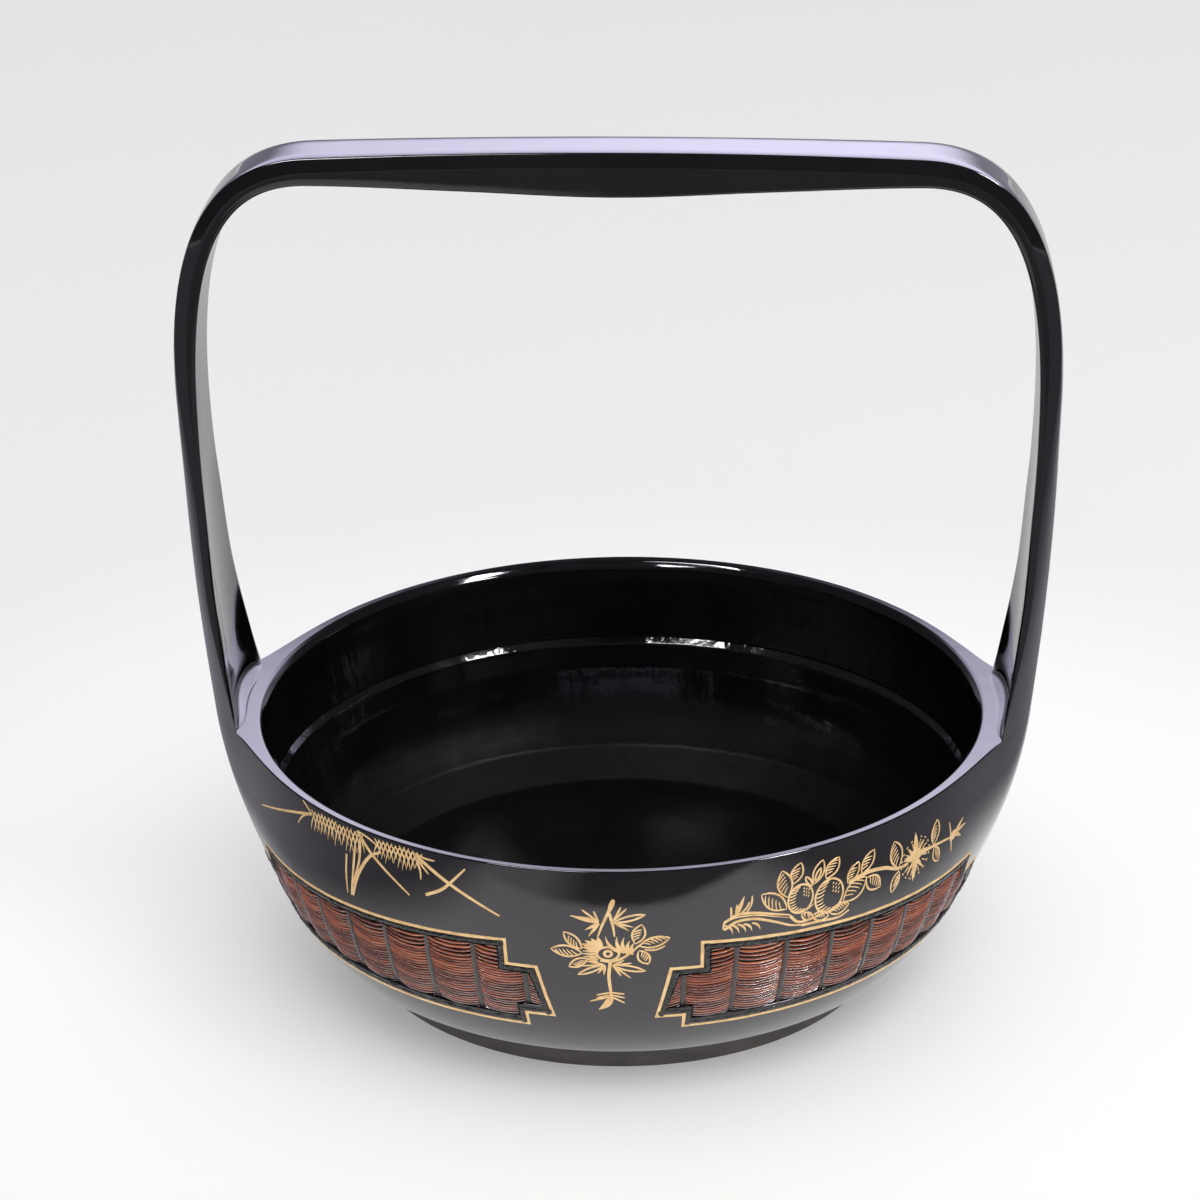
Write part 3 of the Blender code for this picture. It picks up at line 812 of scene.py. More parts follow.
def arch_point(place):
    """Point (X, Z) of the outer middle line of the handle, by its place along the arch."""
    rim = np.array([rim_radius + root_swell, rim_height])
    shoulder = np.array([arch_half_span, shoulder_height])
    bar = np.array([corner_start, arch_height - crown_drop])
    post_rise = (shoulder_height - rim_height) * post_swing_share
    corner_width = arch_half_span - corner_start
    corner_rise = arch_height - crown_drop - shoulder_height
    if place <= 1:
        lean = root_swell * root_swell_straight_share / (rim_height - root_swell_start)
        low, high = rim + post_rise * np.array([lean, 1]), shoulder - post_rise * np.array([0, 1])
        points = (rim, low, high, shoulder)
        return bezier(points, place)
    if place <= 2:
        slope = 2 * crown_drop / corner_start
        towards_bar = bar + corner_width * corner_swing_share * np.array([1, -slope])
        points = (shoulder, shoulder + corner_rise * corner_rise_share * np.array([0, 1]), towards_bar, bar)
        return bezier(points, place - 1)
    share = 3 - place
    return np.array([corner_start * share, arch_height - crown_drop * share**2])


def arch_normal(place):
    """Outward normal of the arch in the XZ plane, level at the rim."""
    step = 1 / samples
    ahead = arch_point(min(place + step, 3)) - arch_point(max(place - step, 0))
    normal = np.array([ahead[1], -ahead[0]])
    normal /= np.linalg.norm(normal)
    if place >= 3:
        return np.array([0.0, 1.0])
    settle = min(place / level_until_share, 1)
    level = np.array([1.0, 0.0])
    normal = level + settle * (normal - level)
    return normal / np.linalg.norm(normal)


def root_curve(share):
    """Drop and side place of the swollen rim's outline, by its share of the root's half angle."""
    angle = share * root_half_angle
    radius = rim_radius + float(swell(angle, rim_height))
    return rim_radius + root_swell - radius * math.cos(angle), radius * math.sin(angle)


def eased(values, place):
    """A smooth curve through the values at the arch's places, level at the last and where they turn back."""
    places, values = np.array(place_shares), np.array(values)
    slopes = np.diff(values) / np.diff(places)
    tangents = np.concatenate([slopes[:1], (slopes[1:] + slopes[:-1]) / 2, [0]])
    tangents[1:-1][slopes[1:] * slopes[:-1] <= 0] = 0
    at = int(np.clip(np.searchsorted(places, place) - 1, 0, len(places) - 2))
    width = places[at + 1] - places[at]
    leaving, arriving = width * tangents[at:at + 2]
    return float(hermite(values[at], values[at + 1], leaving, arriving, (place - places[at]) / width))


def band_sizes(place):
    """The band's half width and thickness, its edges' drop and thickness, and its outer face's flatness."""
    root_drop, root_side = root_curve(1)
    half_width = band_half_width + (root_side - band_half_width) * eased(flare_shares, place)
    thickness = band_thickness * eased(thickness_shares, place)
    edge_drop = root_drop * eased(edge_drop_shares, place)
    edge_thickness = thickness * eased(edge_thickness_shares, place)
    return half_width, thickness, edge_drop, edge_thickness, eased(flatness_shares, place)


def face_drop(share, edge_drop, flatness):
    """How far the outer face lies below its middle: bent like the rim at the root, flatter above it."""
    bent = root_curve(share)[0] / root_curve(1)[0]
    return edge_drop * ((1 - flatness) * bent + flatness * share**face_roll_power)


def rolled_margin(before, corner, end, drop):
    """The steep strip between the outer face and the band's edge, a soft turn above and an arris below."""
    upper = turned_corner(before, corner, end, np.linalg.norm(corner - before))
    return upper + turned_corner(corner, end, end + np.array([drop, 0]), min(arris_rounding, drop / 4), 3)


def handle_outline(place):
    """The handle's section as depth below its middle line and side, round its outer and its inner face."""
    half_width, thickness, edge_drop, edge_thickness, flatness = band_sizes(place)
    hollow = edge_drop + edge_thickness - thickness
    climb = arch_point(place)[1] - rim_height
    rise = 1 - min(climb / root_fillet, 1) if place < 1 else 0
    fillet = root_fillet * (1 - math.sqrt(1 - rise**2))
    full = min(place / rolled_from, 1) * edge_turn_share * edge_thickness
    drop = max(min(roll_drop, full), arris_rounding / 2)
    limit = 1 - drop * roll_width / roll_drop / half_width
    turn = drop * roll_rounding / roll_drop / half_width

    def outer(share):
        side = half_width * root_curve(share)[1] / root_curve(1)[1]
        return np.array([face_drop(share, edge_drop, flatness), side])

    def inner(share):
        thin = 1 - (share / inner_edge_share) ** 4
        return np.array([thickness + hollow * share**2 + fillet * thin, half_width * share])

    front = [outer(share) for share in np.linspace(turn - limit, limit - turn, face_points)]
    short = max(min(inner_rounding, full), arris_rounding / 2)
    end_share = inner_edge_share * (1 - 1.2 * short / half_width)
    back = [inner(share) for share in np.linspace(end_share, -end_share, face_points)]
    end = inner(inner_edge_share)
    bulge = np.array([drop, half_width]) + outer(1) * (1, 0) + end
    middle = bulge / 2 + np.array([0, half_width * edge_bulge_share])
    margin = rolled_margin(front[-1], outer(limit), outer(1) + np.array([drop, 0]), drop)
    margin += [middle, *turned_corner(middle, end, back[0], short)]
    return front + margin + back + [(depth, -side) for depth, side in margin[::-1]]


def handle_section(place):
    centre = arch_point(place)
    normal = arch_normal(place)
    points = []
    for depth, side in handle_outline(place):
        x, z = centre - (depth + skin) * normal
        points.append((0.0 if place >= 3 else x, side, z))
    return points


def tongue_section(share, around):
    """Section of the lapped end, between the woven wall and the outer shell."""
    down = (share - tongue_tip_share) / (1 - tongue_tip_share)
    half_angle = tongue_tip_half_angle + down * (tongue_top_half_angle - tongue_tip_half_angle)
    turns = np.linspace(-1, 1, around // 2) * half_angle
    front = on_bowl(share, turns, shell_thickness + tongue_clearance)
    inner = bowl_profile([share], shell_thickness)[0]
    back = round_points(inner[0], turns[::-1] * tongue_narrowing, inner[1])
    section = np.concatenate([front, back])
    section[:, 2] = np.minimum(section[:, 2], rim_height - gap)
    return section


def make_handle(finish):
    """One bent band with rounded arrises, whose two lapped ends run down inside the wall."""
    places = [*root_place_shares, *np.linspace(0.09, 2, 72), *np.linspace(2.05, 3, 16)]
    half = np.array([handle_section(place) for place in places])
    rings = np.concatenate([half, half[-2::-1] * (-1, 1, 1)])
    around = len(rings[0])
    last = (len(rings) - 1) * around
    faces = grid_faces(0, around, len(rings), closed=True)
    points = rings.reshape(-1, 3).tolist()
    normals = np.zeros((len(points), 3))
    front = rings[0][:face_points]
    rim_normals = bowl_normals(np.full(face_points, 1.0), np.arctan2(front[:, 1], front[:, 0]))
    normals[:face_points] = rim_normals
    normals[last:last + face_points] = rim_normals * (-1, 1, 1)
    inner = around // 2 + 2
    for first in (inner, last + inner):
        normals[first:first + face_points - 3] = (0, 0, 1)
    for side in (1, -1):
        first = len(points)
        for share in np.linspace(tongue_tip_share, 1, tongue_rows):
            points += (tongue_section(share, tongue_around) * (side, 1, 1)).tolist()
        wall = grid_faces(first, tongue_around, tongue_rows, closed=True)
        wall.append(tuple(range(first + tongue_around - 1, first - 1, -1)))
        wall.append(tuple(range(len(points) - tongue_around, len(points))))
        faces += wall if side == 1 else flipped(wall)
    normals = np.vstack([normals, np.zeros((len(points) - len(normals), 3))])
    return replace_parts(add_piece("arched_handle", points, faces, finish, normals), "handle")


# Gold and lacquer on the bowl


def ribbon(path, widths, place):
    """A thin raised stroke along a path in millimetres. The place function lays flat points on the basket."""
    ahead = np.gradient(path, axis=0)
    ahead /= np.maximum(np.linalg.norm(ahead, axis=1, keepdims=True), gap)
    left = np.stack([-ahead[:, 1], ahead[:, 0]], axis=1)
    rings = [place(path + left * widths[:, None] * share, lift) for share, lift in stroke_section]
    return np.stack(rings, axis=1).reshape(-1, 3), flipped(grid_faces(0, len(rings), len(path)))


def sweep(start, end, bend=0.0):
    """A line that bows to its left by a share of its length."""
    start, end = np.array(start, float), np.array(end, float)
    across, up = end - start
    middle = (start + end) / 2 + 2 * bend * np.array([-up, across])
    return bezier((start, middle, end), np.linspace(0, 1, stroke_steps))


def line(start, end, bend=0.0, width=thin_stroke):
    shares = np.linspace(-1, 1, stroke_steps)
    return sweep(start, end, bend), width * (1 - 0.6 * np.abs(shares) ** 4)


def blade(start, end, width=broad_stroke, bend=0.0):
    """A filled stroke, broad past its root and drawn out to a point."""
    shares = np.linspace(0.12, 0.97, stroke_steps)
    return sweep(start, end, bend), width * np.sin(math.pi * shares**0.8)


def stem(*points, width=broad_stroke):
    """A smooth stroke through the points, thinning towards its end."""
    points = np.array(points, float)
    places = np.linspace(0, len(points) - 1, stroke_steps * (len(points) - 1))
    first = np.minimum(places.astype(int), len(points) - 2)
    slopes = np.gradient(points, axis=0)
    after = first + 1
    path = hermite(points[first], points[after], slopes[first], slopes[after], (places - first)[:, None])
    return path, width * (1 - 0.5 * (places / places[-1]) ** 3)


def leaf(base, tip, breadth, hatches=0):
    """Two bowed lines that meet at a point, with slanting strokes across one half."""
    sides = [line(base, tip, breadth / 2), line(base, tip, -breadth / 2)]
    for place in np.linspace(0.2, 0.75, hatches):
        at = int(place * (stroke_steps - 1))
        ahead = min(at + stroke_steps // 4, stroke_steps - 1)
        inner = (sides[0][0][ahead] + 2 * sides[1][0][ahead]) / 3
        sides.append(line(sides[0][0][at], inner, 0.05, fine_stroke))
    return sides


def leaves(*rows):
    """Several leaves, each by its base, tip, breadth and count of hatches."""
    return [stroke for row in rows for stroke in leaf(*row)]


def ring(centre, across, up, width=thin_stroke, start=0, turn=360):
    turns = np.radians(np.linspace(start, start + turn, 4 * stroke_steps))
    path = np.stack([centre[0] + across * np.cos(turns), centre[1] + up * np.sin(turns)], axis=1)
    return path, np.full(len(path), width)


def fan(centre, *tips, width=0.0, bend=0.0):
    """Strokes from one place to several tips: blades where a width is given, otherwise lines."""
    return [blade(centre, tip, width, bend) if width else line(centre, tip, bend) for tip in tips]


def moved(strokes, across, up):
    return [(path + np.array([across, up]), widths) for path, widths in strokes]


def fruit(across, up, radius):
    """A round fruit, shaded by strokes from its lower left edge and dotted at its upper right."""
    strokes = [ring((0, 0), radius, 1.15 * radius)]
    for turn in np.radians(np.arange(125, 300, 13)):
        start = np.array([math.cos(turn), 1.15 * math.sin(turn)]) * radius
        reach = radius * (0.75 - 0.18 * abs(math.cos(turn - math.radians(215))) ** 4)
        towards = np.array([0.9, 0.42 + 0.2 * math.cos(turn)])
        strokes.append(line(start, start + reach * towards, -0.08, fine_stroke))
    for column in range(3):
        for row in range(3):
            spot = np.array([0.22 + 0.2 * column, 0.2 + 0.26 * row - 0.1 * column]) * radius
            strokes.append(line(spot, spot + np.array([0.06, 0.16]) * radius, 0, fine_stroke))
    return moved(strokes, across, up)


def flower_spray():
    """The flower between the front panels, drawn about the eye at its heart."""
    upper_petals = ((-0.8, 7.5), (3.4, 7.5), (6.0, 7.1), (8.0, 5.6), (9.6, 4.6))
    strokes = [
        ring((0, 0), 1.35, 1.2, 1.1), ring((0, 0), 4.0, 2.9, 0.95),
        *(blade((4.9 + step, 0.6 - 0.25 * step), tip, 1.5, 0.16) for step, tip in enumerate(upper_petals)),
        *fan((-2.6, 2.2), (-9.4, 2.6), (-9.6, 4.1), (-8.2, 5.6), (-6.0, 6.6), (-3.6, 7.4), width=2.5),
        *(blade((-3.6, up), (-9.6 + 0.4 * abs(up), up), 1.15) for up in (1.0, -0.2, -1.4, -2.5, -3.5)),
        stem((9.6, 1.8), (5.6, -1.7), (1.4, -3.4), (-3.0, -3.2), width=1.1),
        line((9.4, 1.4), (12.6, 4.2), 0.05),
        *leaves(
            ((-9.5, 1.9), (-15.9, 8.8), 0.42, 5), ((-9.3, 0), (-20.8, 1.3), 0.40, 7),
            ((-7.4, -2.3), (-14.4, -6.2), 0.42, 5), ((9.9, 4.2), (12.4, 12.3), 0.55, 5),
            ((11.2, 3.2), (22.4, 6.1), 0.36, 7), ((11.2, 1.2), (14.8, -4.8), 0.6, 5),
        ),
        line((13.2, 1.6), (20.8, 2.9), -0.12),
        stem((2.3, 22.8), (0.5, 17.9), (-1.8, 12.4), (-3.5, 7.4), width=1.2),
        blade((2.3, 22.8), (0.2, 16.6), 2.0), stem((0.7, 17.2), (1.9, 12.2), (2.5, 7.4), width=1.1),
        *fan((-3.0, 13.4), (-13.4, 15.8), width=2.0),
        *fan((-3.0, 13.0), (-8.2, 10.0), (-7.0, 7.2), width=1.3),
        *fan((-3.2, 13.6), (-9.1, 18.4), (-4.9, 18.0)), *leaf((2.2, 13.4), (13.7, 16.4), 0.17),
        *fan((2.2, 14.0), (4.9, 19.7), (6.9, 19.1)), *fan((2.4, 13.2), (9.3, 11.3), (7.7, 9.9), width=1.0),
        *leaf((-1.6, -5.2), (-11.3, -9.6), 0.18), *fan((-1.4, -4.8), (-9.2, -5.6), (-6.6, -3.8)),
        *fan((-1.2, -5.0), (-3.9, -9.0), (-1.6, -9.6), width=1.1), *leaf((2.0, -5.2), (13.7, -7.9), 0.18),
        *fan((1.6, -5.0), (8.6, -4.2), (5.9, -2.9), (4.7, -9.9), (8.1, -10.8)),
        stem((0.9, -3.0), (0.2, -10.2), (0.8, -17.8), (0.8, -20.8), width=1.3),
        blade((0.9, -20.0), (-4.0, -26.0), 3.0, 0.1),
        *fan((0.8, -17.6), (-4.6, -18.9), (5.8, -18.4)), *fan((0.8, -18.8), (-4.8, -20.4), (6.0, -20.2)),
        *fan((0.9, -19.6), (-7.1, -21.9), (5.9, -22.7)),
    ]
    return moved(strokes, 1.8, 70.2)


def grass_spray():
    """Crossed grass blades over the left front panel."""
    chance = random.Random(11)
    strokes = []
    for start, end, high, low, count in ((-124, -97, 102.6, 93.2, 14), (-89, -70, 103.0, 94.0, 11)):
        for across in np.linspace(start, end, count):
            top = high - 0.0022 * (across - (start + end) / 2) ** 2 - chance.uniform(0, 0.8)
            foot = low + chance.uniform(-1.2, 1.6)
            strokes.append(blade((across, top), (across + 2.6, foot + 1.2), 0.75, 0.05))
            strokes.append(blade((across + 2.4, top), (across - 1.0, foot), 0.75, -0.05))
    return strokes + [
        stem((-124, 99.8), (-137.8, 95.2), (-169.7, 83.9)), line((-124, 99.6), (-134.5, 92.0), -0.1),
        line((-124, 100), (-129.8, 103.3)), line((-97.7, 102.6), (-86.1, 98.6), 0.06),
        stem((-104.2, 91), (-105.4, 82.9), (-105.9, 73.9), width=0.95),
        stem((-99.5, 95), (-101.3, 85.2), (-103.9, 73.8)), stem((-96.3, 100.2), (-97.7, 90), (-102.4, 79)),
        stem((-103.2, 74), (-98.7, 84.4), (-92.2, 93.8), (-86.1, 97.7), width=1.5),
        stem((-97.7, 102.6), (-90.2, 94.8), (-74.2, 83.4), width=1.4),
        stem((-70.6, 100.9), (-56.8, 92.5), (-37.6, 82.8), width=1.5),
        line((-71, 101.6), (-62.4, 100.5), -0.06),
        line((-69.9, 99.3), (-65.2, 94.4)), line((-70.7, 99.7), (-68.8, 91.4), 0.1),
        stem((-66.9, 85.6), (-60.7, 89.0), (-56.4, 93.0), (-50.2, 99.9), width=1.3),
    ]


def fruit_spray():
    """A cut branch with two fruits, a blossom and a bud over the right front panel."""
    thorns = enumerate((44.0, 46.4, 49.0, 51.4, 54.6))
    heart = (129.7, 82.8)
    strokes = [
        stem((44, 80.3), (49.2, 82.9), (56, 82.4), (64.7, 80), (69.6, 78.6)),
        stem((44.2, 77.3), (48.9, 80), (56.1, 79.9), (64.1, 76.9), (69.9, 74.2), (74.9, 72.9)),
        stem((44, 80.3), (48.9, 81.8), (57, 81.2), (69, 77.6), width=0.6), line((44, 80.4), (43.8, 77.3)),
        line((46.7, 82.2), (46.5, 86.6)), line((48.3, 83.2), (48.8, 87.2)),
        line((52.2, 83.2), (54.4, 90), -0.12),
        blade((48.9, 83.4), (51.5, 90.2), 1.7), line((50.4, 83.4), (53.4, 87.6), -0.1),
        *(blade((across, 79.2 - 0.2 * step), (across + 3.4, 74.9), 1.0, 0.18) for step, across in thorns),
        *leaves(
            ((68.3, 81.4), (58.0, 89.6), 0.46, 7), ((68.4, 86.2), (66.0, 97.6), 0.5, 8),
            ((70.4, 91.2), (73.6, 99.2), 0.55, 5), ((75.4, 93.0), (78.6, 88.4), 0.3, 0),
            ((79.2, 89), (82.8, 98), 0.46, 0), ((79.6, 90), (82.0, 95), 0.3, 0),
            ((84.2, 89.8), (89.8, 97.2), 0.55, 6), ((94.2, 84.8), (99.0, 92.4), 0.5, 5),
            ((100.6, 86.8), (106.3, 95), 0.5, 5), ((92.7, 77.6), (103, 84.8), 0.6, 9),
            ((103, 84.2), (110.4, 78), 0.6, 6), ((86.8, 74.6), (95.4, 76), 0.5, 6),
            ((79, 75.6), (86.4, 73.6), 0.5, 5), ((74.4, 77.6), (79.6, 74.6), 0.5, 4),
            ((119.8, 82.4), (116.6, 94.6), 0.5, 6), ((120.2, 81), (117.0, 72.8), 0.46, 5),
            ((141.1, 83.4), (142.4, 93.6), 0.5, 5), ((141.7, 82.2), (145.7, 74.6), 0.5, 5),
        ),
        *fruit(73.8, 84.3, 5.1), *fruit(86.1, 82.2, 6.1),
        stem((69.6, 78.2), (73.4, 74.6), (79.1, 74.6), (84.6, 75.6)),
        stem((74.9, 72.8), (82.7, 72.4), (90.8, 71.6), (95.6, 73)),
        stem(
            (94.6, 85.2), (101.6, 86.4), (106.4, 86.3), (112.7, 85), (119.5, 82.2), (125.1, 82.4), width=1.7,
        ),
        stem((134, 82.6), (137.2, 83.3), (145.5, 82.4), (153.5, 81.2), width=1.4),
        *fan(heart, (128.6, 93.6), (129.2, 73.0), (123.0, 84.6), (136.2, 84.4), width=3.2),
        *fan(heart, (124.6, 88.2), (133.6, 88.8), (134.6, 77.0), (125.2, 77.6), width=1.8),
    ]
    for turn in np.radians(np.arange(12, 372, 20)):
        towards = np.array([math.cos(turn), math.sin(turn)])
        for near, far, width in ((4.4, 7.4, fine_stroke), (8.0, 8.6, broad_stroke)):
            strokes.append(line(heart + near * towards, heart + far * towards, 0, width))
    strokes += fan((153, 81), (160.4, 81.6), width=4.2)
    strokes += fan((157, 81.6), (163, 85.6), (165.6, 82), (162.6, 78), width=1.8)
    return [*strokes, line((151.4, 88.8), (155.6, 74.2), 0.03)]


def post_spray():
    """A thin sprig that climbs the outer face of each of the handle's posts."""
    strokes = [stem((1.0, 118), (-1.4, 150), (0.8, 186), (-0.4, 212))]
    for step, height in enumerate(np.arange(124, 206, 6.5)):
        side = 1 if step % 2 else -1
        tip = (side * (6.5 - 0.02 * (height - 124)), height + 9)
        strokes.append(blade((0, height), tip, 1.3, 0.1 * side))
    return strokes


def bowl_place(middle):
    """Lays millimetres along the rim's circle from a middle angle, and above the floor, on the bowl."""
    def place(points, lift):
        heights = points[:, 1] / 1000
        angles = middle + points[:, 0] / 1000 / rim_radius
        return on_bowl(share_at_height(heights), angles, -lift * gold_height)
    return place


def post_place(side):
    """Lays millimetres across a post's outer face, and above the floor, on the handle."""
    places = np.linspace(0.05, 1.2, samples)
    heights = [arch_point(place)[1] for place in places]

    def place(points, lift):
        laid = []
        for across, height in points / 1000:
            at = float(np.interp(height, heights, places))
            half_width, _, edge_drop, _, flatness = band_sizes(at)
            depth = face_drop(across / half_width, edge_drop, flatness) + skin - lift * gold_height
            x, z = arch_point(at) - depth * arch_normal(at)
            laid.append((side * x, -side * across, z))
        return np.array(laid)
    return place


def draw(name, strokes, place, finish):
    """Gold strokes as one piece; each of four in turn lies a little higher, so that crossings stay clean."""
    points, faces, first = [], [], 0
    for number, (path, widths) in enumerate(strokes):
        layer = 0.8 + 0.12 * (number % 4)
        laid, quads = ribbon(path, widths, lambda flat, lift: place(flat, lift * layer))
        points.append(laid)
        faces += (np.array(quads) + first).tolist()
        first += len(laid)
    return add_piece(name, np.concatenate(points), faces, finish)


def make_sprays(finish):
    for name, middle in (("front", -math.pi / 2), ("back", math.pi / 2)):
        for kind, strokes in (("flower", flower_spray()), ("grass", grass_spray()), ("fruit", fruit_spray())):
            draw(f"gold_{kind}_{name}", strokes, bowl_place(middle), finish)
    for name, side in (("right", 1), ("left", -1)):
        draw(f"gold_sprig_{name}", post_spray(), post_place(side), finish)


def trim(name, number, loop, section, finish):
    """A closed band along a window's outline, from rows of inset and height, one value or one per point."""
    offsets = inward_offsets(loop)
    points = []
    for inset, height in section:
        moved = loop + offsets * (inset + np.zeros(len(loop)))[:, None]
        angles = window_middles()[number] + moved[:, 0] / rim_radius
        points.append(on_bowl(share_at_length(moved[:, 1]), angles, -height))
    faces = grid_faces(0, len(loop), len(section), closed=True)
    return add_piece(name, np.concatenate(points), faces, finish)


def frame_line(number, finish):
    """The stepped gold line round a window, with mitred corners."""
    loop = divided(panel_loop(number, 0), 2 * window_edge_step)
    lengths = np.arange(len(loop)) * 2 * window_edge_step
    drift = wobble(lengths, 20 + number, window_wobble / 2)
    half = frame_line_width / 2 * (1 + wobble(lengths, 30 + number, 0.2))
    section = [(half * share + drift, lift * gold_height) for share, lift in frame_section]
    return trim(f"gold_frame_{number + 1}", number, loop, section, finish)


def window_bead(number, finish):
    """The lumpy bead of lacquer between the gold line and the window, run a little over the window's edge."""
    loop = divided(panel_loop(number, 0), bead_step)
    lengths = np.arange(len(loop)) * bead_step
    lumps = 1 + wobble(lengths, 40 + number, bead_lumpiness)
    outer = frame_line_width / 2
    reach = window_inset - outer + wobble(lengths, 50 + number, bead_drift)
    section = []
    for share, lift in bead_section:
        section.append((outer + share * reach, lift * bead_height * (lumps if lift > 0 else 1)))
    return trim(f"window_bead_{number + 1}", number, loop, section, finish)


# Materials


def feed(tree, socket, value):
    """Links an input to another node's output, or sets it to a plain number or color."""
    if isinstance(value, bpy.types.NodeSocket):
        tree.links.new(value, socket)
    elif isinstance(value, tuple) and len(value) == 3 and socket.type == "RGBA":
        socket.default_value = (*value, 1)
    else:
        socket.default_value = value


def node(tree, kind, inputs, **settings):
    """A node with its settings, and its inputs by name or number."""
    made = tree.nodes.new(kind)
    for name, value in settings.items():
        setattr(made, name, value)
    for socket, value in inputs.items():
        feed(tree, made.inputs[socket], value)
    return made


def new_material(name, roughness, coat=0.0, coat_roughness=0.03, **others):
    """A Principled material. The others name further sockets of its shader, with _ for a space."""
    made = bpy.data.materials.new(name)
    made.use_nodes = True
    values = {"Roughness": roughness, "Coat_Weight": coat, "Coat_Roughness": coat_roughness, "IOR": 1.5}
    for socket, value in {**values, **others}.items():
        set_input(made, socket.replace("_", " "), value)
    return made


def place_in(tree, stretch=(1, 1, 1)):
    """Coordinates on the piece itself, in metres, stretched along each axis."""
    source = node(tree, "ShaderNodeTexCoord", {}).outputs["Object"]
    return node(tree, "ShaderNodeMapping", {"Vector": source, "Scale": stretch}).outputs["Vector"]


def axes(tree, where):
    """The X, Y and Z of coordinates."""
    return node(tree, "ShaderNodeSeparateXYZ", {"Vector": where}).outputs


def noise(tree, where, scale, detail=3.0, roughness=0.5):
    inputs = {"Vector": where, "Scale": scale, "Detail": detail, "Roughness": roughness}
    return node(tree, "ShaderNodeTexNoise", inputs).outputs["Fac"]


def ramp(tree, factor, stops):
    """A color that changes with the factor, through stops of a place and a color."""
    made = node(tree, "ShaderNodeValToRGB", {"Fac": factor})
    elements = made.color_ramp.elements
    while len(elements) < len(stops):
        elements.new(0.5)
    for element, (place, color) in zip(elements, stops):
        element.position = place
        element.color = (*color, 1)
    return made.outputs["Color"]


def scaled(tree, value, low, high, to_low, to_high, turn="LINEAR"):
    inputs = {"Value": value, "From Min": low, "From Max": high, "To Min": to_low, "To Max": to_high}
    return node(tree, "ShaderNodeMapRange", inputs, interpolation_type=turn).outputs["Result"]


def smooth_range(tree, value, low, high):
    """0 at low and 1 at high, level at both. Low may be the higher number."""
    rising = int(low < high)
    return scaled(tree, value, min(low, high), max(low, high), 1 - rising, rising, "SMOOTHSTEP")


def combined(tree, operation, first, second=0.0):
    return node(tree, "ShaderNodeMath", {0: first, 1: second}, operation=operation).outputs["Value"]


def mixed(tree, factor, first, second, blend="MIX"):
    inputs = {0: factor, 6: first, 7: second}
    return node(tree, "ShaderNodeMix", inputs, data_type="RGBA", blend_type=blend).outputs[2]


def set_input(material, name, value):
    feed(material.node_tree, material.node_tree.nodes["Principled BSDF"].inputs[name], value)


def set_color(material, factor, *stops):
    set_input(material, "Base Color", ramp(material.node_tree, factor, stops))


def set_range(material, name, *range_of_values):
    """Feeds an input of the shader from a factor, its low and high values, and what they turn into."""
    set_input(material, name, scaled(material.node_tree, *range_of_values))


def set_bump(material, height, distance):
    bump = node(material.node_tree, "ShaderNodeBump", {"Height": height, "Distance": distance})
    for socket in ("Normal", "Coat Normal"):
        set_input(material, socket, bump.outputs["Normal"])


def grained(made, stretch, grain, dark, light, bump):
    """Gives a material a noise, which its tone and relief follow. Dark and light are a place and a color."""
    pattern = noise(made.node_tree, place_in(made.node_tree, stretch), *grain)
    set_color(made, pattern, dark, light)
    set_bump(made, pattern, bump)
    return pattern


def polished_lacquer():
    """Deep black lacquer, rubbed to a gloss, with faint brush waves, dust and hairline rubbing marks."""
    made = new_material("polished_black_lacquer", 0.10, 1.0, 0.025, Specular_Tint=(0.93, 0.87, 1.0))
    tree = made.node_tree
    where = place_in(tree)
    cloud = noise(tree, where, 18, 4)
    rubbed = noise(tree, place_in(tree, (1, 1, 6)), 60, 5, 0.6)
    set_color(made, cloud, (0.3, (0.0040, 0.0036, 0.0042)), (0.75, (0.0085, 0.0070, 0.0068)))
    set_range(made, "Roughness", rubbed, 0.3, 0.8, 0.05, 0.16)
    fine = combined(tree, "MULTIPLY", noise(tree, where, 420, 2, 0.5), 0.03)
    set_bump(made, combined(tree, "ADD", noise(tree, where, 34, 2, 0.4), fine), 0.00022)
    return made


def brushed_lacquer():
    """Black lacquer laid on with a broad brush: glossy but uneven, and dull near the floor."""
    made = new_material("brushed_black_lacquer", 0.10, 1.0)
    tree = made.node_tree
    where = place_in(tree, (1, 1, 0.45))
    cloud = noise(tree, where, 40, 4)
    height = axes(tree, place_in(tree))["Z"]
    set_color(made, cloud, (0.3, (0.0030, 0.0028, 0.0034)), (0.75, (0.0065, 0.0058, 0.0062)))
    worn = scaled(tree, height, worn_height, glossy_height, 0.5, 0.0)
    set_input(made, "Roughness", combined(tree, "MAXIMUM", worn, scaled(tree, cloud, 0.3, 0.8, 0.06, 0.2)))
    fading = (("Specular IOR Level", 0.10, 0.5), ("Coat Roughness", 0.34, 0.05), ("Coat Weight", 0.06, 1.0))
    for name, low, high in fading:
        set_range(made, name, height, worn_height, glossy_height, low, high)
    fine = combined(tree, "MULTIPLY", noise(tree, place_in(tree, (1, 1, 0.25)), 420, 3, 0.55), 0.16)
    set_bump(made, combined(tree, "ADD", noise(tree, where, 90, 3, 0.5), fine), 0.00045)
    return made


def bead_material():
    """Thick black lacquer, set in small lumps round the windows."""
    made = new_material("thick_black_lacquer", 0.3, 0.4, 0.08)
    dark, light = (0.3, (0.004, 0.0035, 0.004)), (0.8, (0.009, 0.007, 0.007))
    grained(made, (1, 1, 1), (650, 2, 0.5), dark, light, 0.0011)
    return made


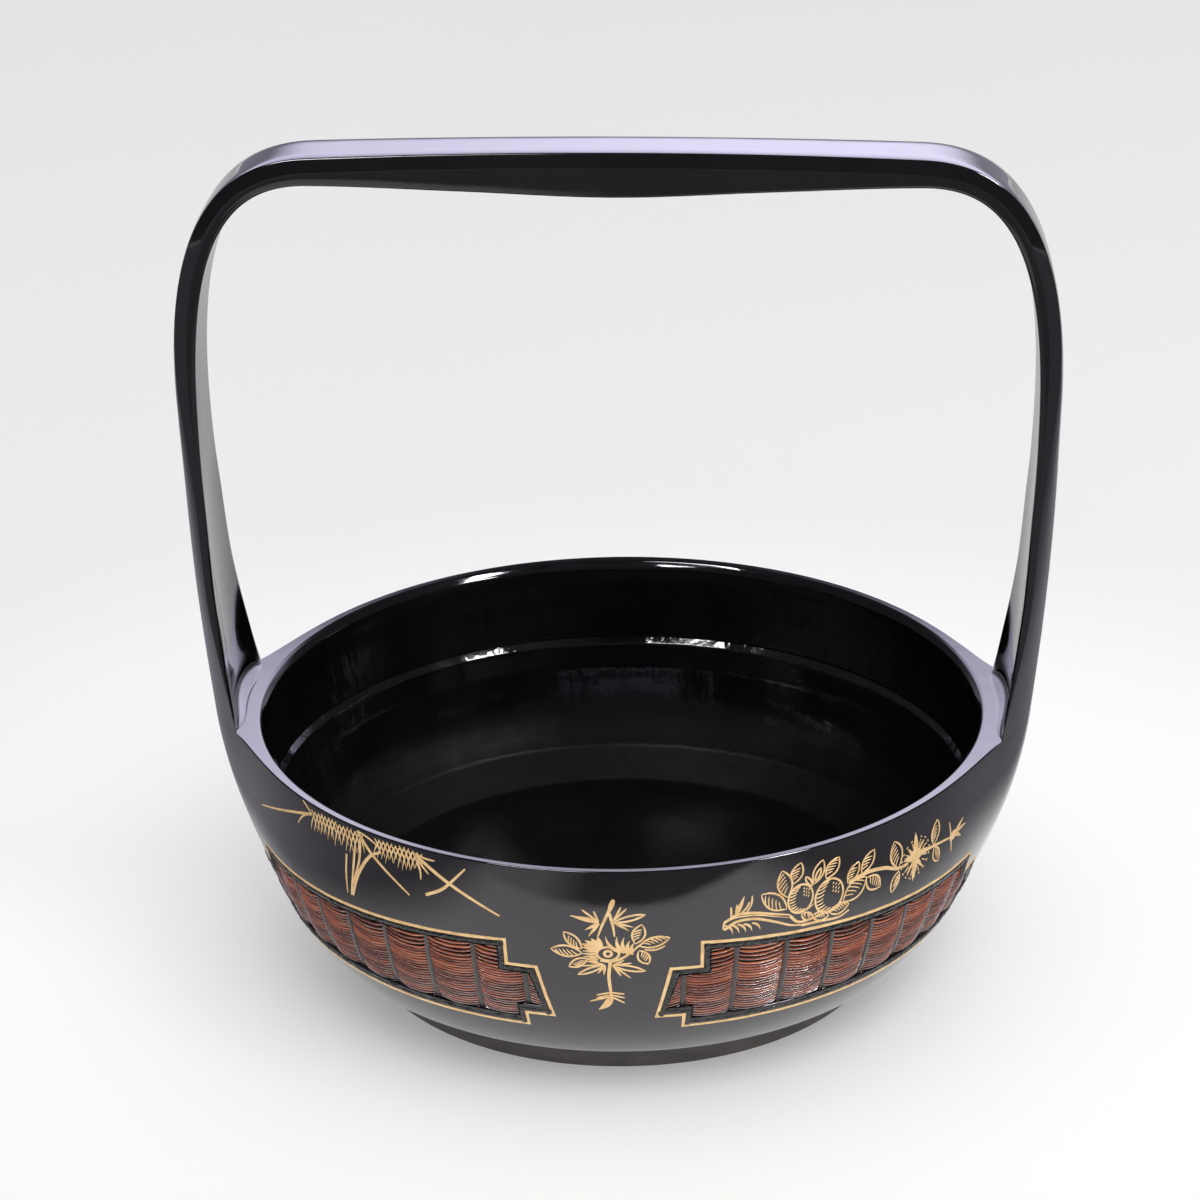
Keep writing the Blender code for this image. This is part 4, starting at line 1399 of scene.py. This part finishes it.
def satin_lacquer():
    """The foot's thinner, duller lacquer, rubbed brown in places."""
    made = new_material("satin_brown_black_lacquer", 0.4, 0.25, 0.25)
    tree = made.node_tree
    cloud = noise(tree, place_in(tree, (1, 1, 3)), 70, 5, 0.6)
    set_color(made, cloud, (0.3, (0.050, 0.045, 0.044)), (0.8, (0.105, 0.090, 0.085)))
    set_range(made, "Roughness", cloud, 0.3, 0.8, 0.28, 0.5)
    set_bump(made, noise(tree, place_in(tree), 300, 4, 0.6), 0.0002)
    return made


def strand_material():
    """Split bamboo under red-brown lacquer: each strand its own tone, black where the lacquer has run, and
    painted darker in the lower rows as painted shade.
    """
    made = new_material("red_brown_bamboo_strands", 0.3, 1.0, 0.04, Coat_IOR=2.5)
    tree = made.node_tree
    layer = node(tree, "ShaderNodeVertexColor", {}, layer_name="strand").outputs["Color"]
    tone, border, level = node(tree, "ShaderNodeSeparateColor", {"Color": layer}).outputs
    grain = noise(tree, place_in(tree, (1, 1, 5)), 260, 4, 0.6)
    patch = noise(tree, place_in(tree), 55, 3, 0.5)
    clouded = combined(tree, "MULTIPLY", patch, 0.45)
    mixture = combined(tree, "ADD", combined(tree, "MULTIPLY", tone, 0.6), clouded)
    # painted shade: the lower rows take the darker colours below, the upper rows the lighter ones
    lower = [(0.2, (0.070, 0.013, 0.008)), (0.55, (0.19, 0.036, 0.018)), (0.85, (0.36, 0.080, 0.030))]
    upper = [(0.2, (0.22, 0.040, 0.014)), (0.5, (0.46, 0.10, 0.032)), (0.85, (0.62, 0.17, 0.055))]
    color = mixed(tree, level, ramp(tree, mixture, lower), ramp(tree, mixture, upper))
    streaked = mixed(tree, scaled(tree, grain, 0.45, 0.7, 0.0, 0.3), color, (0.03, 0.008, 0.006))
    ragged = combined(tree, "MULTIPLY", combined(tree, "SUBTRACT", patch, 0.5), 0.9)
    black = scaled(tree, combined(tree, "ADD", border, ragged), 0.25, 0.5, 1.0, 0.0)
    set_input(made, "Base Color", mixed(tree, black, streaked, (0.006, 0.005, 0.005)))
    set_range(made, "Roughness", grain, 0.3, 0.8, 0.14, 0.35)
    rough = combined(tree, "MULTIPLY", noise(tree, place_in(tree), 900, 3, 0.6), 0.4)
    set_bump(made, combined(tree, "ADD", grain, rough), 0.00012)
    return made


def stake_material():
    """Dark bamboo stakes, their grain running up the bowl, under the same lacquer."""
    made = new_material("dark_bamboo_stakes", 0.35, 0.65, 0.12)
    dark, light = (0.3, (0.014, 0.009, 0.010)), (0.75, (0.045, 0.026, 0.024))
    grain = grained(made, (1, 1, 0.08), (900, 4, 0.6), dark, light, 0.00015)
    set_range(made, "Roughness", grain, 0.3, 0.8, 0.18, 0.4)
    return made


def backing_material():
    made = new_material("lacquer_soaked_wall", 0.55)
    grained(made, (1, 1, 1), (300, 4), (0.3, (0.002, 0.001, 0.001)), (0.8, (0.006, 0.003, 0.002)), 0.0003)
    return made


def gold_material():
    """Gold powder on lacquer: warm, soft in its shine and thinner in places."""
    made = new_material("gold_powder", 0.45, Metallic=0.35)
    tree = made.node_tree
    grains = noise(tree, place_in(tree), 2600, 2, 0.6)
    cloud = noise(tree, place_in(tree), 260, 4, 0.6)
    set_color(made, cloud, (0.25, (0.76, 0.46, 0.18)), (0.6, (1.0, 0.70, 0.36)))
    set_range(made, "Roughness", grains, 0.3, 0.7, 0.36, 0.6)
    set_bump(made, grains, 0.00006)
    return made


def wood_material():
    """The plain board under the bowl, seen from below: pale wood with open grain and faint rings."""
    made = new_material("plain_wood_board", 0.6)
    tree = made.node_tree
    where = place_in(tree, (1, 0.12, 1))
    grain = noise(tree, where, 240, 6, 0.65)
    rings = combined(tree, "MULTIPLY", noise(tree, where, 30, 2), 0.4)
    tone = combined(tree, "ADD", combined(tree, "MULTIPLY", grain, 0.6), rings)
    set_color(made, tone, (0.3, (0.13, 0.075, 0.040)), (0.7, (0.34, 0.22, 0.125)))
    set_range(made, "Roughness", grain, 0.3, 0.8, 0.5, 0.75)
    set_bump(made, grain, 0.0003)
    return made


def bamboo_material():
    made = new_material("bare_bamboo_pegs", 0.5)
    dark, light = (0.3, (0.42, 0.30, 0.16)), (0.75, (0.62, 0.48, 0.28))
    grained(made, (0.1, 1, 1), (900, 4, 0.6), dark, light, 0.0002)
    return made


def floor_material():
    """Plain white paper, painted a little lighter towards the back, with a painted glow round the basket that
    lifts the basket's shadow.
    """
    made = new_material("pale_studio_floor", 0.8, Emission_Color=(1, 1, 0.99))
    tree = made.node_tree
    where = place_in(tree)
    # painted light: the paper's colour grows a little lighter towards the back
    far = smooth_range(tree, axes(tree, where)["Y"], -0.4, 0.6)
    set_input(made, "Base Color", mixed(tree, far, (0.85, 0.85, 0.84), (0.90, 0.90, 0.885)))
    away = node(tree, "ShaderNodeVectorMath", {0: where}, operation="LENGTH").outputs["Value"]
    # painted glow: the floor gives off light round the basket, though it is no lamp, to lift the basket's
    # shadow
    glow = combined(tree, "MULTIPLY", smooth_range(tree, away, 0.50, 0.15), painted_floor_glow)
    set_input(made, "Emission Strength", glow)
    return made


# Studio


def glow_material(name, color, strength):
    made = bpy.data.materials.new(name)
    made.use_nodes = True
    tree = made.node_tree
    tree.nodes.clear()
    glow = node(tree, "ShaderNodeEmission", {"Color": color, "Strength": strength})
    node(tree, "ShaderNodeOutputMaterial", {"Surface": glow.outputs["Emission"]})
    return made


def stage_piece(name, points, faces, finish, unseen_by=()):
    """Part of the studio, which some kinds of ray may pass."""
    made = new_object(name, points, faces, finish)
    for kind in unseen_by:
        setattr(made, f"visible_{kind}", False)
    return made


def make_floor():
    ring = round_points(floor_radius, full_turn(128), 0)
    return stage_piece("studio_floor", ring, [tuple(range(len(ring)))], floor_material())


def make_backdrop():
    """A pale wall far round the floor, there for the camera alone."""
    steps = 96
    points = [round_points(floor_radius, full_turn(steps), height) for height in (0, backdrop_height)]
    faces = flipped(grid_faces(0, steps, 2, closed=True)) + [tuple(range(2 * steps - 1, steps - 1, -1))]
    finish = glow_material("backdrop_white", (1.0, 1.0, 0.99), 0.8)
    others = ("diffuse", "glossy", "transmission", "shadow")
    return stage_piece("studio_backdrop", np.concatenate(points), faces, finish, others)


def painted_reflection_material():
    """A painted reflection: a dim grey glow in front of the basket and at both sides, and nothing between
    them.
    """
    finish = glow_material("painted_reflection_grey", (0.92, 0.9, 1.0), 0.15)
    tree = finish.node_tree
    across, along, _ = axes(tree, place_in(tree))
    # painted reflection: masks for where the sheet glows dim grey and where it lets the real floor show
    aside = combined(tree, "ABSOLUTE", combined(tree, "SUBTRACT", across, painted_reflection_aside))
    beside = smooth_range(tree, aside, painted_reflection_side - 2 * painted_reflection_softness, painted_reflection_side + 2 * painted_reflection_softness)
    ended = smooth_range(tree, along, painted_reflection_end + 4 * painted_reflection_softness, painted_reflection_end - 4 * painted_reflection_softness)
    veil = combined(tree, "MULTIPLY", smooth_range(tree, along, painted_veil_start / 2, painted_veil_start), painted_veil_strength)
    beside = combined(tree, "MAXIMUM", combined(tree, "MULTIPLY", beside, ended), veil)
    before = smooth_range(tree, along, painted_reflection_front_softness - painted_reflection_front, -painted_reflection_front_softness - painted_reflection_front)
    farther = smooth_range(tree, along, -painted_reflection_full_from, -painted_reflection_full_until)
    thin = scaled(tree, across, painted_reflection_thin_until, painted_reflection_thin_from, painted_reflection_thin, 1.0)
    before = combined(tree, "MULTIPLY", before, combined(tree, "MAXIMUM", farther, thin))
    glow = tree.nodes["Emission"]
    feed(tree, glow.inputs["Strength"], scaled(tree, aside, 0.17, 0.26, 0.15, 0.25))
    clear = node(tree, "ShaderNodeBsdfTransparent", {}).outputs[0]
    cover = {0: combined(tree, "MAXIMUM", beside, before), 1: clear, 2: glow.outputs[0]}
    shader = node(tree, "ShaderNodeMixShader", cover)
    feed(tree, tree.nodes["Material Output"].inputs["Surface"], shader.outputs[0])
    return finish


def make_painted_reflection_sheet():
    """A painted reflection: a sheet over the floor that glows a dim grey, which only the gloss of the lacquer
    sees.
    """
    far = painted_reflection_reach
    corners = [(-far, -far, painted_reflection_lift), (far, -far, painted_reflection_lift), (far, far, painted_reflection_lift), (-far, far, painted_reflection_lift)]
    others = ("camera", "diffuse", "transmission", "shadow")
    return stage_piece("painted_reflection_sheet", corners, [(0, 1, 2, 3)], painted_reflection_material(), others)


def area_light(name, towards, distance, width, height, radiance, dull=False):
    """A soft box that shines on the basket from a direction, either on what is dull or on what is glossy."""
    data = bpy.data.lights.new(name, "AREA")
    data.shape = "RECTANGLE"
    data.size = width
    data.size_y = height
    data.energy = radiance * math.pi * width * height
    made = bpy.data.objects.new(name, data)
    direction = Vector(towards).normalized()
    made.location = direction * distance + Vector((0, 0, rim_height))
    made.rotation_euler = direction.to_track_quat("Z", "Y").to_euler()
    made.visible_diffuse = dull
    made.visible_glossy = not dull
    bpy.context.scene.collection.objects.link(made)
    return made


def make_world():
    """An even white dome lights all that is dull, while gloss sees a bright wall low behind the basket."""
    world = bpy.data.worlds.new("studio")
    bpy.context.scene.world = world
    world.use_nodes = True
    tree = world.node_tree
    aside, along, up = axes(tree, node(tree, "ShaderNodeTexCoord", {}).outputs["Generated"])
    behind = smooth_range(tree, along, 0.25, 0.75)
    low = smooth_range(tree, up, 0.62, 0.46)
    narrow = smooth_range(tree, combined(tree, "ABSOLUTE", aside), 0.72, 0.46)
    wall = combined(tree, "MULTIPLY", combined(tree, "MULTIPLY", behind, low), narrow)
    level = mixed(tree, smooth_range(tree, up, 0.14, 0.30), (0.34, 0.33, 0.40), (2.02, 1.95, 2.50))
    shaded = mixed(tree, smooth_range(tree, aside, -0.25, 0.05), (0.72, 0.72, 0.74), (1.0, 1.0, 1.0))
    gloss = mixed(tree, wall, (0.055, 0.055, 0.062), mixed(tree, 1, level, shaded, "MULTIPLY"))
    dull = node(tree, "ShaderNodeLightPath", {}).outputs["Is Diffuse Ray"]
    color = mixed(tree, dull, gloss, (dome_level, dome_level, dome_level))
    feed(tree, tree.nodes["Background"].inputs["Color"], color)
    return world


def make_camera():
    """The photograph's view: aimed at a point above the floor, turned, and rolled a little."""
    forward = Vector((
        -math.sin(view_turn) * math.cos(view_elevation),
        math.cos(view_turn) * math.cos(view_elevation),
        -math.sin(view_elevation),
    ))
    level = Vector((math.cos(view_turn), math.sin(view_turn), 0))
    upright = level.cross(forward)
    right = math.cos(view_roll) * level + math.sin(view_roll) * upright
    up = math.cos(view_roll) * upright - math.sin(view_roll) * level
    data = bpy.data.cameras.new("studio_camera")
    data.lens = lens
    data.sensor_width = sensor
    data.clip_end = 2 * floor_radius
    made = bpy.data.objects.new("studio_camera", data)
    matrix = Matrix((right, up, -forward)).transposed().to_4x4()
    matrix.translation = view_aside * level + Vector((0, 0, view_height)) - forward * view_distance
    made.matrix_world = matrix
    bpy.context.scene.collection.objects.link(made)
    bpy.context.scene.camera = made
    return made


def dress_node(name, finish):
    """A carried-over solid keeps its shape and gets its own finish."""
    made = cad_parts[name]
    made.data.materials.clear()
    made.data.materials.append(finish)


def main():
    black = polished_lacquer()
    brushed = brushed_lacquer()
    gold = gold_material()
    stake_finish = stake_material()
    bead = bead_material()
    for made, slot in (
        (make_outer_shell(black), "black_lacquer"),
        (make_handle(black), "black_lacquer"),
        (make_rim_hoop(black), "black_lacquer"),
        (make_inner_hoop(brushed), "black_lacquer"),
        (make_lining(brushed), "black_lacquer"),
        (make_foot_ring(satin_lacquer()), "dull_lacquer"),
        (make_strands(strand_material()), "red_bamboo"),
        (make_backing(backing_material()), "red_bamboo"),
    ):
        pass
    for index, angle in enumerate(stake_angles()):
        make_stake(index, angle, stake_finish)
    for number in range(4):
        frame_line(number, gold)
        window_bead(number, bead)
    make_sprays(gold)
    dress_node("base_board", wood_material())
    peg_finish = bamboo_material()
    for number in range(4):
        dress_node(f"peg_{number + 1}", peg_finish)

    make_floor()
    make_backdrop()
    make_painted_reflection_sheet()
    make_world()
    area_light("soft_box_right", *right_box)
    area_light("soft_box_left", *left_box)
    area_light("fill_light", *fill_box, dull=True)
    make_camera()
    bpy.context.scene.view_settings.view_transform = "Standard"


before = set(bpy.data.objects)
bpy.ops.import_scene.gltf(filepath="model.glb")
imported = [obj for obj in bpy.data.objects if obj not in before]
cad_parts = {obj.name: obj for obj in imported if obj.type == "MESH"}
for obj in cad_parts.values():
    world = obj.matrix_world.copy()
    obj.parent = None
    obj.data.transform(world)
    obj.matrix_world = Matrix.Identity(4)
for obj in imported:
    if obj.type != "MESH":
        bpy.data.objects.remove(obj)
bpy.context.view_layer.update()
main()
